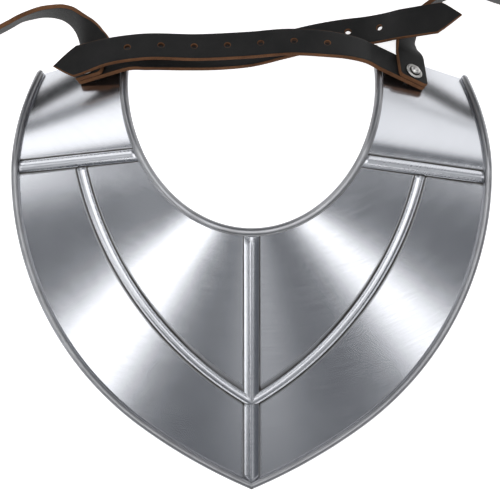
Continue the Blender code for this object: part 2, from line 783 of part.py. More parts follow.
def build_short_strap(side, table, run, names, leather, steel):
    """Short strap, the clasp in its folded end and the small rivet that closes the fold."""
    rows = seat_rows(side, short_ahead(side), 2, 0.0, (-0.018, 0.0, 0.018, 0.0195))
    rows += short_rows(table)
    last, before = rows[-1][0], rows[-2][0]
    direction = Vector((last.x - before.x, last.y - before.y, 0.0)).normalized()
    normal = Vector((direction.y, -direction.x, 0.0)) * side
    upright = Vector((0.0, 0.0, 1.0))
    seat_height = STRAP_WIDTH / 2 + WIRE + 3 * CLEARANCE
    start = Vector((last.x, last.y, seat_height)) + direction * run
    for back in (0.55, 0.0):
        share = 1 - back
        place = last.lerp(start - direction * FOLD_RIVET_AT * 1.5, share)
        height = share_between(last.z, seat_height, min(1.0, share * 1.2))
        rows.append((Vector((place.x, place.y, height)), normal))
    rows.append((start - direction * FOLD_RIVET_AT, normal))
    first_leg = len(rows) - 1
    folded, bar = fold_rows(start, direction, normal)
    apex = len(rows) + 3
    rows += folded
    route = Route(rows)
    skew, _, reach = root_ends(side)
    holes = [(route.at_row[1], 0.0, SHANK / 2 + CLEARANCE),
             (route.at_row[first_leg], 0.0, FOLD_SHANK / 2 + CLEARANCE),
             (route.at_row[-2], 0.0, FOLD_SHANK / 2 + CLEARANCE)]
    slots = [(route.at_row[apex], 0.0028, PRONG / 2 + 2 * CLEARANCE)]
    strap_object(names[0], route, route.at_row[1] - reach, route.at_row[3], route.length,
                 side * skew, holes, slots, False, leather)
    clasp_object(names[1], bar, direction, upright, steel)
    middle = start - direction * FOLD_RIVET_AT - normal * (LEATHER + CLEARANCE) / 2
    grip = LEATHER + CLEARANCE * 1.5
    half_head, shank = FOLD_HEAD / 2, FOLD_SHANK / 2
    top = grip + FOLD_HEAD_RISE
    turned_object(names[2], middle, normal,
                  [(0.0, -top), (half_head * 0.7, -top + FOLD_HEAD_RISE * 0.3), (half_head, -grip),
                   (shank, -grip), (shank, grip), (half_head, grip),
                   (half_head * 0.7, top - FOLD_HEAD_RISE * 0.3), (0.0, top)], 16, steel)


def build_rivet(side, names, look):
    """Domed rivet through two straps and the plate, and the washer under its head."""
    place, _, normal = seat_frame(side)
    top = layer_height(2) + LEATHER / 2 + CLEARANCE
    inner = SHANK / 2 + CLEARANCE
    turned_object(names[1], place, normal,
                  [(inner, top), (WASHER / 2, top), (WASHER / 2, top + WASHER_THICKNESS * 0.6),
                   (WASHER / 2 - WASHER_THICKNESS * 0.4, top + WASHER_THICKNESS),
                   (inner, top + WASHER_THICKNESS)], 28, look)
    seat = top + WASHER_THICKNESS + CLEARANCE
    tilt = math.radians(by_side(side, RIGHT_SEAT_TILT, LEFT_SEAT_TILT))
    low = -SEAT_LIFT - SHEET / 2 - TAIL / 2 * math.sin(tilt) - 2 * CLEARANCE
    profile = [(0.0, low - TAIL_RISE), (TAIL / 2 * 0.8, low - TAIL_RISE),
               (TAIL / 2, low - TAIL_RISE * 0.5), (TAIL / 2, low), (SHANK / 2, low),
               (SHANK / 2, seat), (HEAD / 2 * 0.96, seat), (HEAD / 2, seat + HEAD_RISE * 0.15)]
    for step in range(1, 5):
        turn = math.radians(90 * step / 5)
        profile.append((HEAD / 2 * math.cos(turn),
                        seat + HEAD_RISE * (0.15 + 0.85 * math.sin(turn))))
    profile.append((0.0, seat + HEAD_RISE))
    turned_object(names[0], place, normal, profile, 20, look)


def stand_on_surface():
    """Moves every object so that the origin is under the middle of the whole, on the surface."""
    corners = []
    shown = [item for item in bpy.context.scene.objects if not item.hide_render]
    for item in shown:
        corners += [vertex.co for vertex in item.data.vertices]
    shift = Vector((-(min(c.x for c in corners) + max(c.x for c in corners)) / 2,
                    -(min(c.y for c in corners) + max(c.y for c in corners)) / 2,
                    -min(c.z for c in corners)))
    for item in bpy.context.scene.objects:
        item.location = shift


def main():
    for item in list(bpy.data.objects):
        bpy.data.objects.remove(item, do_unlink=True)
    plate_steel = material("plate_steel", (0.56, 0.56, 0.55), 0.28, 1.0)
    fitting_steel = material("fitting_steel", (0.60, 0.59, 0.57), 0.3, 1.0)
    black_leather = material("black_leather", (0.02, 0.017, 0.015), 0.5, 0.0)
    build_plate(plate_steel)
    build_long_strap("strap_long_right", 1, LONG_RIGHT_ROUTE, 3,
                     LONG_STRAP_RIGHT, black_leather)
    build_long_strap("strap_long_left", -1, LONG_LEFT_ROUTE, 1,
                     LONG_STRAP_LEFT, black_leather)
    build_short_strap(1, SHORT_RIGHT_ROUTE, RIGHT_RUN_TO_CLASP,
                      ("strap_short_right", "buckle_right", "buckle_rivet_right"),
                      black_leather, fitting_steel)
    build_short_strap(-1, SHORT_LEFT_ROUTE, LEFT_RUN_TO_CLASP,
                      ("strap_short_left", "buckle_left", "buckle_rivet_left"),
                      black_leather, fitting_steel)
    build_rivet(1, ("rivet_right", "washer_right"), fitting_steel)
    build_rivet(-1, ("rivet_left", "washer_left"), fitting_steel)
    stand_on_surface()


main()
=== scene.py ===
import bisect
import math

import bmesh
import bpy
import numpy as np
from mathutils import Matrix, Vector
from mathutils.geometry import delaunay_2d_cdt


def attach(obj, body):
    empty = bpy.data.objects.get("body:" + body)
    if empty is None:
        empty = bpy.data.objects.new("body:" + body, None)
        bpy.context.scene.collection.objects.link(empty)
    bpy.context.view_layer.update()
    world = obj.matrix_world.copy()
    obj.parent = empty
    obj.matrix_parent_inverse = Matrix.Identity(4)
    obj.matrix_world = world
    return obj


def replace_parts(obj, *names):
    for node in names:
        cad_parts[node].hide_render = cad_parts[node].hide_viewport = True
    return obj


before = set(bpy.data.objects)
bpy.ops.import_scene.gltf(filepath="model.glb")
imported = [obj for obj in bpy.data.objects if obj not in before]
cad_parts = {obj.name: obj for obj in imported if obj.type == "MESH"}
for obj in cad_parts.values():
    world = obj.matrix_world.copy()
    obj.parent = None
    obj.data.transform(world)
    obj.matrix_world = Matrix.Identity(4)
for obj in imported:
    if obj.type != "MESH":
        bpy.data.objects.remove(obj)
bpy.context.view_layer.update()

# The breast plate is one sheet of mild steel, cut out flat and raised over a stake. Both its long edges
# are rolled over to the front, and the beads are swaged into it from behind. It is polished by hand,
# which leaves fine rubbing marks that follow the curve of the neck.

CLEARANCE = 0.0003
SHEET = 0.0012
HALF_WIDTH = 0.177
WIDEST_ROW = -0.0707
SIDE_RADIUS = 0.2347
POINT_RADIUS = 0.4255
POINT_ROW = -0.3072
ARM_ROWS = (0.006, 0.0097)
NECK_HALF_WIDTH = 0.0905
NECK_DEPTH = 0.1102
NECK_ROW = 0.0021
NECK_END_TURN = 102.0
CROWN_HEIGHT = 0.095
SIDE_SLOPE = 0.25
FRONT_SLOPE = 0.287
SHOULDER_ROW = -0.0444
SHOULDER_LEAN = 0.132
ARM_CURL = 1.6
ARM_TWIST = 0.85
RIM_SETTLE = 0.0009
ARM_SETTLE = 0.0016
NECK_ROLL = 0.0062
OUTER_ROLL = 0.0054
ROLL_TURN = 300.0
CENTRE_BEAD = 0.0112
SHOULDER_BEAD = 0.0086
SHOULDER_BEAD_SKEW = 0.0225
CURVED_BEAD = 0.0072
CURVED_BEAD_RADIUS = 0.2675
CURVED_BEAD_TOP = 0.696
CURVED_BEAD_FOOT = 0.711
BEAD_HEIGHT = 0.0021
ROUND_BEAD = 1.9
SHARP_BEAD = 1.25

# Counts of the mesh, and the shares of a roll's width between which a bead rises out from under it.
BEAD_STEPS = 14
BREAST_SECTIONS = 116
ARM_SECTIONS = 36
PANEL_STEPS = 22
ROLL_STEPS = 24
RAMP_STEPS = 5
RAMP_FROM = 0.48
RAMP_RUN = 0.16
RAMP_END = 0.64
UNDER_ROLL = 0.3

# How hollow or proud a bend is, for each step along it, before it counts as a crease, which gets painted
# shade, or a raised line.
CREASE_FROM = 0.04
CREASE_GAIN = 6.0
RAISED_FROM = 0.01
RAISED_GAIN = 12.0

TO_FRAME = Vector((-0.00348, 0.11736, -0.00013))
POINT = Vector((0.0, POINT_ROW))
SIDE_CENTRE = Vector((HALF_WIDTH - SIDE_RADIUS, WIDEST_ROW))
FRONT_REACH = WIDEST_ROW - POINT_ROW
RIDGE_SLOPE = (CROWN_HEIGHT - SHEET / 2) / FRONT_REACH - FRONT_SLOPE


def point_arc():
    """Centre and end angle of the arc that runs from the plate's point into the side arc."""
    gap = POINT_RADIUS - SIDE_RADIUS
    reach = SIDE_CENTRE - POINT
    share = (reach.length_squared + gap * gap - POINT_RADIUS ** 2) / (2 * gap * reach.length)
    turn = math.atan2(reach.y, reach.x) - math.acos(max(-1.0, min(1.0, share)))
    return SIDE_CENTRE - gap * Vector((math.cos(turn), math.sin(turn))), turn


POINT_CENTRE, JOIN_TURN = point_arc()
POINT_TURN = math.atan2(POINT.y - POINT_CENTRE.y, POINT.x - POINT_CENTRE.x)
POINT_ARC = POINT_RADIUS * (JOIN_TURN - POINT_TURN)


def outer_edge(length):
    """Outline point and its outward direction, at a length along the edge from the plate's point."""
    if length < POINT_ARC:
        turn = POINT_TURN + length / POINT_RADIUS
        centre, radius = POINT_CENTRE, POINT_RADIUS
    else:
        turn = JOIN_TURN + (length - POINT_ARC) / SIDE_RADIUS
        centre, radius = SIDE_CENTRE, SIDE_RADIUS
    outward = Vector((math.cos(turn), math.sin(turn)))
    return centre + radius * outward, outward


def length_at_row(row):
    turn = math.asin((row - WIDEST_ROW) / SIDE_RADIUS)
    return POINT_ARC + SIDE_RADIUS * (turn - JOIN_TURN)


def length_at_across(across):
    turn = -math.acos((across - POINT_CENTRE.x) / POINT_RADIUS)
    return POINT_RADIUS * (turn - POINT_TURN)


def neck_edge(turn):
    """Neck opening's edge and the direction into the sheet, by the turn from the centre line."""
    angle = math.radians(turn)
    place = Vector((NECK_HALF_WIDTH * math.sin(angle), NECK_ROW - NECK_DEPTH * math.cos(angle)))
    inward = Vector((math.sin(angle) / NECK_HALF_WIDTH, -math.cos(angle) / NECK_DEPTH))
    return place, inward.normalized()


def turn_at_row(row):
    return math.degrees(math.acos((NECK_ROW - row) / NECK_DEPTH))


def crown(across, along):
    back = along - WIDEST_ROW
    return CROWN_HEIGHT + RIDGE_SLOPE * back - math.hypot(SIDE_SLOPE * across, FRONT_SLOPE * back)


def behind_shoulder(across, along):
    return max(0.0, along - SHOULDER_ROW + SHOULDER_LEAN * abs(across))


def arm_end(row):
    corner = outer_edge(length_at_row(row))[0]
    fall = crown(*corner) - SHEET / 2 + ARM_SETTLE
    return corner.x, fall, behind_shoulder(*corner)


ARM_ENDS = (arm_end(ARM_ROWS[0]), arm_end(ARM_ROWS[1]))


def plate_height(across, along):
    corner, deepest, reach = ARM_ENDS[0] if across > 0 else ARM_ENDS[1]
    fall = deepest * (behind_shoulder(across, along) / reach) ** ARM_CURL
    outward = 1.0 + ARM_TWIST * (abs(across) - corner) / HALF_WIDTH
    return crown(across, along) - fall * outward - RIM_SETTLE


def on_plate(across, along):
    return Vector((across, along, plate_height(across, along)))


def plate_normal(across, along):
    step = 0.0002
    run = on_plate(across + step, along) - on_plate(across - step, along)
    rise = on_plate(across, along + step) - on_plate(across, along - step)
    return run.cross(rise).normalized()


def bead_shares(power):
    """Places across a bead and their lift: a ridge, more or less round, with a crisp foot."""
    half = BEAD_STEPS / 2
    return [(step / BEAD_STEPS - 0.5, 1.0 - abs(step / half - 1.0) ** power)
            for step in range(BEAD_STEPS + 1)]


BEAD = bead_shares(ROUND_BEAD)
RIDGE = bead_shares(SHARP_BEAD)


def stations_between(start, stop, count):
    """Plain section lines after the first of two stations, up to and with the second."""
    stations = []
    for step in range(1, count + 1):
        share = step / count
        stations.append((start[0] + (stop[0] - start[0]) * share,
                         start[1] + (stop[1] - start[1]) * share, 0.0))
    return stations


def half_stations(side):
    """Section lines from the centre line to the arm's end: neck turn, edge length, bead lift."""
    skew = side * SHOULDER_BEAD_SKEW
    inset = (OUTER_ROLL / 2) * math.cos(POINT_TURN)
    stations = []
    for share, lift in RIDGE[BEAD_STEPS // 2:]:
        neck_turn = math.degrees(math.asin(share * CENTRE_BEAD / NECK_HALF_WIDTH))
        edge = length_at_across(share * CENTRE_BEAD + inset) if share > 0 else 0.0
        stations.append((neck_turn, edge, lift))
    neck_mid = SHOULDER_ROW - (SHOULDER_LEAN + skew) * NECK_HALF_WIDTH
    edge_mid = SHOULDER_ROW - (SHOULDER_LEAN + skew) * HALF_WIDTH
    bead = []
    for share, lift in BEAD:
        neck_turn = turn_at_row(neck_mid + share * SHOULDER_BEAD)
        bead.append((neck_turn, length_at_row(edge_mid + share * SHOULDER_BEAD), lift))
    end = length_at_row(ARM_ROWS[0] if side > 0 else ARM_ROWS[1])
    stations += stations_between(stations[-1], bead[0], BREAST_SECTIONS)[:-1] + bead
    return stations + stations_between(bead[-1], (NECK_END_TURN, end), ARM_SECTIONS)


def curved_bead_centre():
    top = Vector((CURVED_BEAD_TOP * HALF_WIDTH, WIDEST_ROW))
    foot = Vector((0.0, WIDEST_ROW - CURVED_BEAD_FOOT * FRONT_REACH))
    chord = foot - top
    across = Vector((chord.y, -chord.x)).normalized()
    rise = math.sqrt(CURVED_BEAD_RADIUS ** 2 - chord.length_squared / 4)
    return (top + foot) / 2 + across * rise


BEAD_CENTRE = curved_bead_centre()


def crossing(start, direction, radius):
    """Distance along a section line to the circle of this radius about the curved bead's centre."""
    offset = start - BEAD_CENTRE
    along = offset.dot(direction)
    return -along + math.sqrt(along * along - offset.length_squared + radius * radius)


def roll_points(place, outward, normal, diameter):
    radius = (diameter - SHEET) / 2
    points = []
    for step in range(1, ROLL_STEPS + 1):
        turn = math.radians(ROLL_TURN * step / ROLL_STEPS)
        points.append(place + outward * (radius * math.sin(turn))
                      + normal * (radius - radius * math.cos(turn)))
    return points


def spread(start, stop, count, lift):
    """Places between two distances, without its ends, at one lift."""
    return [(start + (stop - start) * step / count, lift) for step in range(1, count)]


def section_points(side, station, on_arm, at_point):
    """Middle line of the sheet along one section, from the neck roll to the outer roll."""
    neck_turn, edge, lift = station
    neck, neck_in = neck_edge(neck_turn)
    rim, rim_out = outer_edge(edge)
    neck_foot = neck + neck_in * (NECK_ROLL / 2)
    mitre = 1.0
    if at_point:
        mitre = 1.0 / math.sin(-POINT_TURN)
        rim_out = Vector((0.0, -1.0))
    rim_foot = rim - rim_out * (OUTER_ROLL / 2 * mitre)
    direction = (rim_foot - neck_foot).normalized()
    span = (rim_foot - neck_foot).length
    near = crossing(neck_foot, direction, CURVED_BEAD_RADIUS - CURVED_BEAD / 2)
    far = crossing(neck_foot, direction, CURVED_BEAD_RADIUS + CURVED_BEAD / 2)
    ramp = []
    for step in range(1, RAMP_STEPS + 1):
        share = step / RAMP_STEPS
        ramp.append((RAMP_FROM + RAMP_RUN * share, lift * share * share * (3 - 2 * share)))
    places = [(0.0, 0.0), (NECK_ROLL * UNDER_ROLL, 0.0)]
    places += [(NECK_ROLL * share, raised) for share, raised in ramp]
    places += spread(NECK_ROLL * RAMP_END, near, PANEL_STEPS, lift)
    for share, own_lift in BEAD:
        distance = crossing(neck_foot, direction, CURVED_BEAD_RADIUS + share * CURVED_BEAD)
        places.append((distance, max(lift, 0.0 if on_arm else own_lift)))
    places += spread(far, span - OUTER_ROLL * RAMP_END, PANEL_STEPS, lift)
    places += [(span - OUTER_ROLL * share, raised) for share, raised in ramp[::-1]]
    places += [(span - OUTER_ROLL * UNDER_ROLL, 0.0), (span, 0.0)]
    sheet = []
    for distance, raised in places:
        plan = neck_foot + direction * distance
        across = side * plan.x
        sheet.append(on_plate(across, plan.y) + plate_normal(across, plan.y) * (raised * BEAD_HEIGHT))
    neck_normal = plate_normal(side * neck_foot.x, neck_foot.y)
    neck_back = Vector((-side * neck_in.x, -neck_in.y, 0.0))
    neck_back = (neck_back - neck_normal * neck_back.dot(neck_normal)).normalized()
    rim_normal = plate_normal(side * rim_foot.x, rim_foot.y)
    rim_away = Vector((side * rim_out.x, rim_out.y, 0.0))
    rim_away = (rim_away - rim_normal * rim_away.dot(rim_normal)).normalized() * mitre
    return (roll_points(sheet[0], neck_back, neck_normal, NECK_ROLL)[::-1] + sheet
            + roll_points(sheet[-1], rim_away, rim_normal, OUTER_ROLL))


def plate_rows():
    """Sections of the whole plate, from the left arm's end round to the right arm's end."""
    rows = []
    for side in (-1, 1):
        stations = half_stations(side)
        first_on_arm = len(stations) - ARM_SECTIONS - len(BEAD)
        half = []
        for index, station in enumerate(stations):
            half.append(section_points(side, station, index >= first_on_arm, index == 0))
        rows += half[:0:-1] if side < 0 else half
    return rows


def thickened(rows, thickness):
    """Points and faces of a sheet about a grid of points, with how creased and how raised each is."""
    grid = np.array([[tuple(point) for point in row] for row in rows])
    run = np.gradient(grid, axis=0)
    rise = np.gradient(grid, axis=1)
    normal = np.cross(rise, run)
    normal /= np.linalg.norm(normal, axis=2, keepdims=True)
    count, width = grid.shape[:2]
    points = np.concatenate(((grid + normal * thickness / 2).reshape(-1, 3),
                             (grid - normal * thickness / 2).reshape(-1, 3)))
    index = np.arange(count * width).reshape(count, width)
    a, b = index[:-1, :-1].ravel(), index[:-1, 1:].ravel()
    c, d = index[1:, 1:].ravel(), index[1:, :-1].ravel()
    shift = count * width
    faces = np.concatenate((np.stack((a, b, c, d), 1),
                            np.stack((shift + a, shift + d, shift + c, shift + b), 1)))
    border = list(index[:, 0]) + list(index[-1, 1:]) + list(index[-2::-1, -1]) + list(index[0, -2:0:-1])
    rim = [(here, there, shift + there, shift + here)
           for here, there in zip(border, border[1:] + border[:1])]
    faces = faces.tolist() + [tuple(int(v) for v in face) for face in rim]
    crease, raised = np.zeros((count, width)), np.zeros((count, width))
    for axis in (0, 1):
        before, after = np.roll(grid, 1, axis), np.roll(grid, -1, axis)
        size = np.linalg.norm(after - before, axis=2) / 2
        hollow = np.sum(((before + after) / 2 - grid) * normal, axis=2) / size
        hollow[[0, -1], :] = 0.0
        hollow[:, [0, -1]] = 0.0
        crease = np.maximum(crease, np.clip((hollow - CREASE_FROM) * CREASE_GAIN, 0.0, 1.0))
        raised = np.maximum(raised, np.clip((-hollow - RAISED_FROM) * RAISED_GAIN, 0.0, 1.0))
    return points, faces, [np.tile(share.ravel(), 2) for share in (crease, raised)]


def mesh_object(name, points, faces, look, angle=38.0):
    """Piece made from points and faces, turned outwards, smooth but for its sharp edges."""
    mesh = bpy.data.meshes.new(name)
    mesh.from_pydata([tuple(Vector(point) + TO_FRAME) for point in points], [], faces)
    shell = bmesh.new()
    shell.from_mesh(mesh)
    bmesh.ops.recalc_face_normals(shell, faces=shell.faces)
    if shell.calc_volume(signed=True) < 0:
        bmesh.ops.reverse_faces(shell, faces=shell.faces)
    shell.to_mesh(mesh)
    shell.free()
    mesh.shade_smooth()
    mesh.set_sharp_from_angle(angle=math.radians(angle))
    mesh.materials.append(look)
    made = bpy.data.objects.new(name, mesh)
    bpy.context.scene.collection.objects.link(made)
    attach(made, "root")
    return made


class Nodes:
    """A material's node tree, built one node at a time."""

    def __init__(self, name):
        self.made = bpy.data.materials.new(name)
        self.made.use_nodes = True
        self.tree = self.made.node_tree
        self.shader = self.tree.nodes["Principled BSDF"]

    def add(self, kind, settings=(), **inputs):
        node = self.tree.nodes.new("ShaderNode" + kind)
        for key, value in dict(settings).items():
            setattr(node, key, value)
        for key, value in inputs.items():
            socket = node.inputs[int(key[1:])] if key[0] == "_" else node.inputs[key]
            if isinstance(value, bpy.types.NodeSocket):
                self.tree.links.new(value, socket)
            else:
                socket.default_value = value
        return node

    def join(self, source, target):
        self.tree.links.new(source, target)

    def math(self, operation, *values, clamp=False):
        inputs = {"_%d" % index: value for index, value in enumerate(values)}
        settings = {"operation": operation, "use_clamp": clamp}
        return self.add("Math", settings, **inputs).outputs[0]

    def noise(self, place, scale, detail=4.0, roughness=0.55):
        node = self.add("TexNoise", Vector=place, Scale=scale, Detail=detail, Roughness=roughness)
        return node.outputs["Fac"]

    def ramp(self, value, stops):
        node = self.add("ValToRGB", _0=value)
        ends = node.color_ramp.elements
        for index, (place, colour) in enumerate(stops):
            end = ends[index] if index < 2 else ends.new(place)
            end.position = place
            end.color = (*colour, 1.0) if len(colour) == 3 else (*colour * 3, 1.0)
        return node.outputs["Color"]


RUBBING_CENTRE = (-0.00348, 0.17, 0.0)
RUBBED_DEPTH = 0.000001
CROSSED_DEPTH = 0.0000002
# Near-black colour of the painted shade laid into the steel's creases and hollows.
CREASE_SHADE_COLOUR = (0.06, 0.055, 0.05, 1.0)


def polished_steel(name, colour, roughness, depth):
    """Steel with rubbing marks round a centre, small pits, creases darkened with painted shade and a faint
    uneven surface.
    """
    n = Nodes(name)
    place = n.add("TexCoord").outputs["Object"]
    turned = n.add("VectorMath", {"operation": "SUBTRACT"}, _0=place, _1=RUBBING_CENTRE)
    parts = n.add("SeparateXYZ", _0=turned.outputs[0])
    radius = n.add("VectorMath", {"operation": "LENGTH"}, _0=turned.outputs[0]).outputs["Value"]
    angle = n.math("ARCTAN2", parts.outputs[1], parts.outputs[0])
    polar = n.add("CombineXYZ", X=n.math("MULTIPLY", radius, 900.0), Y=n.math("MULTIPLY", angle, 7.0),
                  Z=n.math("MULTIPLY", parts.outputs[2], 40.0)).outputs[0]
    rubbed = n.noise(polar, 1.0, 6.0, 0.7)
    cross = n.add("Mapping", {"vector_type": "POINT"}, Vector=place, Rotation=(0.0, 0.0, 0.9),
                  Scale=(1300.0, 16.0, 16.0)).outputs[0]
    crossed = n.noise(cross, 1.0, 5.0, 0.7)
    uneven = n.noise(place, 16.0, 3.0)
    smeared = n.noise(place, 55.0, 4.0)
    pits = n.add("TexVoronoi", {"feature": "F1"}, Vector=place, Scale=75.0, Randomness=1.0)
    spot = n.math("LESS_THAN", pits.outputs["Distance"],
                  n.math("MULTIPLY", n.math("POWER", n.noise(place, 9.0, 2.0), 6.0), 0.35))
    tone = n.ramp(smeared, ((0.3, tuple(c * 0.96 for c in colour)), (0.75, colour)))
    # Painted shade: creases and hollows are darkened towards a near-black colour, by how creased the mesh is
    # there. The pits are real marks.
    crease = n.add("Attribute", {"attribute_name": "crease"}).outputs["Fac"]
    crease_shade = n.math("MULTIPLY", crease, n.math("ADD", 0.8, smeared))
    dark = n.math("MAXIMUM", n.math("MULTIPLY", spot, 0.75), crease_shade, clamp=True)
    pitted_and_shaded = n.add("Mix", {"data_type": "RGBA"}, _0=dark, _6=tone, _7=CREASE_SHADE_COLOUR).outputs[2]
    n.join(pitted_and_shaded, n.shader.inputs["Base Color"])
    n.shader.inputs["Metallic"].default_value = 1.0
    rough = n.math("ADD", roughness - 0.08, n.math("MULTIPLY", rubbed, 0.11))
    rough = n.math("ADD", rough, n.math("MULTIPLY", smeared, 0.03))
    raised = n.add("Attribute", {"attribute_name": "raised"}).outputs["Fac"]
    rough = n.math("ADD", rough, n.math("MULTIPLY", raised, 0.1))
    n.join(n.math("ADD", rough, n.math("MULTIPLY", dark, 0.3)), n.shader.inputs["Roughness"])
    height = n.math("ADD", n.math("MULTIPLY", rubbed, RUBBED_DEPTH),
                    n.math("MULTIPLY", crossed, CROSSED_DEPTH))
    height = n.math("ADD", height, n.math("MULTIPLY", uneven, depth))
    bump = n.add("Bump", Height=height, Strength=0.6, Distance=1.0)
    n.join(bump.outputs[0], n.shader.inputs["Normal"])
    return n.made


plate_steel = polished_steel("plate_steel_polished", (0.60, 0.61, 0.64), 0.23, 0.00008)
points, faces, shares = thickened(plate_rows(), SHEET)
plate = mesh_object("gorget_plate_polished", points, faces, plate_steel, angle=50.0)
# The crease share darkens the plate's creases with painted shade; the raised share makes raised lines
# rougher.
for key, values in zip(("crease", "raised"), shares):
    plate.data.attributes.new(key, "FLOAT", "POINT").data.foreach_set("value", values)
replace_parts(plate, "gorget_plate")


# The straps are belt leather, dyed black on the grain side and left raw and brown at the cut edges and
# on the flesh side. Each one lies on the plate at its rivet, the long one under the short one, and the
# long ones cross behind the neck. Their punched holes are worn brown at the rim.

STRAP_WIDTH = 0.024
LEATHER = 0.0033
LONG_STRAPS = (0.2856, 0.3008)
POINT_LONG_SIDE = 0.0198
POINT_SHORT_SIDE = 0.0133
HOLE = 0.0042
HOLE_PITCH = 0.0248
HOLE_COUNT = 7
POINTS_TO_HOLE = (0.057, 0.0636)
LONG_HEADINGS = (3.0, -13.0)
SHORT_HEADINGS = (109.0, 102.0)
SEAT_TILTS = (8.5, 9.0)
SEAT_LIFT = 0.0022
RIVET_ACROSS = 0.1162
RIVET_ROWS = (0.0017, 0.0048)
RIVET_OFF_CENTRE = 0.004
SHANK = 0.0036
WIRE = 0.0034
PRONG = 0.0022
FOLD_BACK = 0.026
FOLD_RIVET_AT = 0.018
FOLD_SHANK = 0.0024
RUN_TO_CLASP = 0.058
ROOT_CORNER = 0.003
RIM_WEAR = 0.0009
SLOT_HALF_LENGTH = 0.0028
ROUTE_STEPS = 16

# Where each strap lies flat on its seat, as distances from its rivet.
LONG_SEAT = (-0.019, 0.0, 0.0245, 0.026)
SHORT_SEAT = (-0.018, 0.0, 0.018, 0.0195)

# Rows of each route: across and along as shares of the plate's half width, height as a share of the
# strap's width, and the lean and turn of the grain side in degrees.
ROUTE_COLUMNS = ("across", "along", "height", "lean", "turn")
LONG_RIGHT_ROUTE = (
    (0.4755, 0.1250, 1.446, 47, 80),
    (0.3957, 0.1455, 1.467, 42, 84),
    (0.3288, 0.1555, 1.446, 37, 88),
    (0.1613, 0.1664, 1.383, 34, 91),
    (-0.0065, 0.1544, 1.342, 34, 92),
    (-0.2164, 0.1439, 1.370, 34, 91),
    (-0.4672, 0.1419, 1.600, 35, 88),
    (-0.6180, 0.1188, 1.600, 33, 92),
    (-0.7187, 0.0898, 1.500, 24, 98),
    (-0.8378, 0.0602, 1.488, 12, 104),
)
LONG_LEFT_ROUTE = (
    (-0.4468, 0.1011, 1.704, 38, 96),
    (-0.3014, 0.1047, 1.433, 36, 91),
    (-0.1335, 0.1107, 1.142, 36, 93),
    (-0.0065, 0.1268, 0.892, 35, 100),
    (0.1214, 0.1616, 0.683, 33, 104),
    (0.2413, 0.1933, 0.558, 31, 102),
    (0.4041, 0.2220, 0.496, 28, 98),
    (0.4851, 0.2299, 0.537, 26, 98),
    (0.5523, 0.2387, 0.720, 24, 98),
    (0.6308, 0.2518, 1.030, 22, 98),
    (0.6926, 0.2598, 1.160, 21, 98),
    (0.7549, 0.2688, 1.240, 20, 98),
    (0.8893, 0.2868, 1.270, 19, 98),
)
SHORT_RIGHT_ROUTE = (
    (0.6620, 0.1706, 0.295, 60, 28),
    (0.6640, 0.2060, 0.180, 64, 12),
    (0.6838, 0.2400, 0.085, 68, -8),
    (0.7095, 0.2885, 0.020, 76, -30),
    (0.7567, 0.3356, 0.000, 81, -46),
    (0.8167, 0.3785, 0.000, 84, -60),
    (0.8939, 0.3999, 0.000, 87, -80),
    (0.9710, 0.3957, 0.000, 90, -98),
    (1.0439, 0.3721, 0.000, 90, -112),
)
SHORT_LEFT_ROUTE = (
    (-0.6780, 0.1860, 0.400, 55, 150),
    (-0.6950, 0.2150, 0.270, 57, 168),
    (-0.7170, 0.2440, 0.160, 60, 190),
    (-0.7360, 0.2655, 0.100, 63, 209),
    (-0.7700, 0.2955, 0.035, 67, 229),
    (-0.8050, 0.3107, 0.008, 72, 245),
    (-0.8470, 0.3158, 0.000, 78, 262),
    (-0.8990, 0.3130, 0.000, 83, 277),
    (-0.9500, 0.3000, 0.000, 87, 287),
    (-0.9930, 0.2850, 0.000, 90, 295),
    (-1.0360, 0.2610, 0.000, 90, 301),
)


def side_value(side, values):
    return values[0] if side > 0 else values[1]


def lean_normal(lean, turn):
    lean, turn = math.radians(lean), math.radians(turn)
    return Vector((math.sin(lean) * math.cos(turn), math.sin(lean) * math.sin(turn), math.cos(lean)))


def route_rows(table, rise_at):
    """Place and grain side for each row of a route; rise_at gives the height to add for a lean."""
    rows = []
    for values in table:
        row = dict(zip(ROUTE_COLUMNS, values))
        rise = row["height"] * STRAP_WIDTH + rise_at(row["lean"])
        rows.append((Vector((row["across"] * HALF_WIDTH, row["along"] * HALF_WIDTH, rise)),
                     lean_normal(row["lean"], row["turn"])))
    return rows


def standing_height(lean):
    """Height of the middle of a strap whose lower edge lies on the surface."""
    lean = math.radians(lean)
    return (math.sin(lean) * STRAP_WIDTH + math.cos(lean) * LEATHER) / 2 + CLEARANCE


def slopes_through(values, chords):
    """Slope of a smooth line at each of its values, by the distances between them."""
    steps = [(after - before) / chord for before, after, chord in zip(values, values[1:], chords)]
    slopes = [steps[0]]
    for i in range(1, len(steps)):
        weight = chords[i - 1] / (chords[i - 1] + chords[i])
        slopes.append(steps[i - 1] * (1 - weight) + steps[i] * weight)
    return slopes + [steps[-1]]


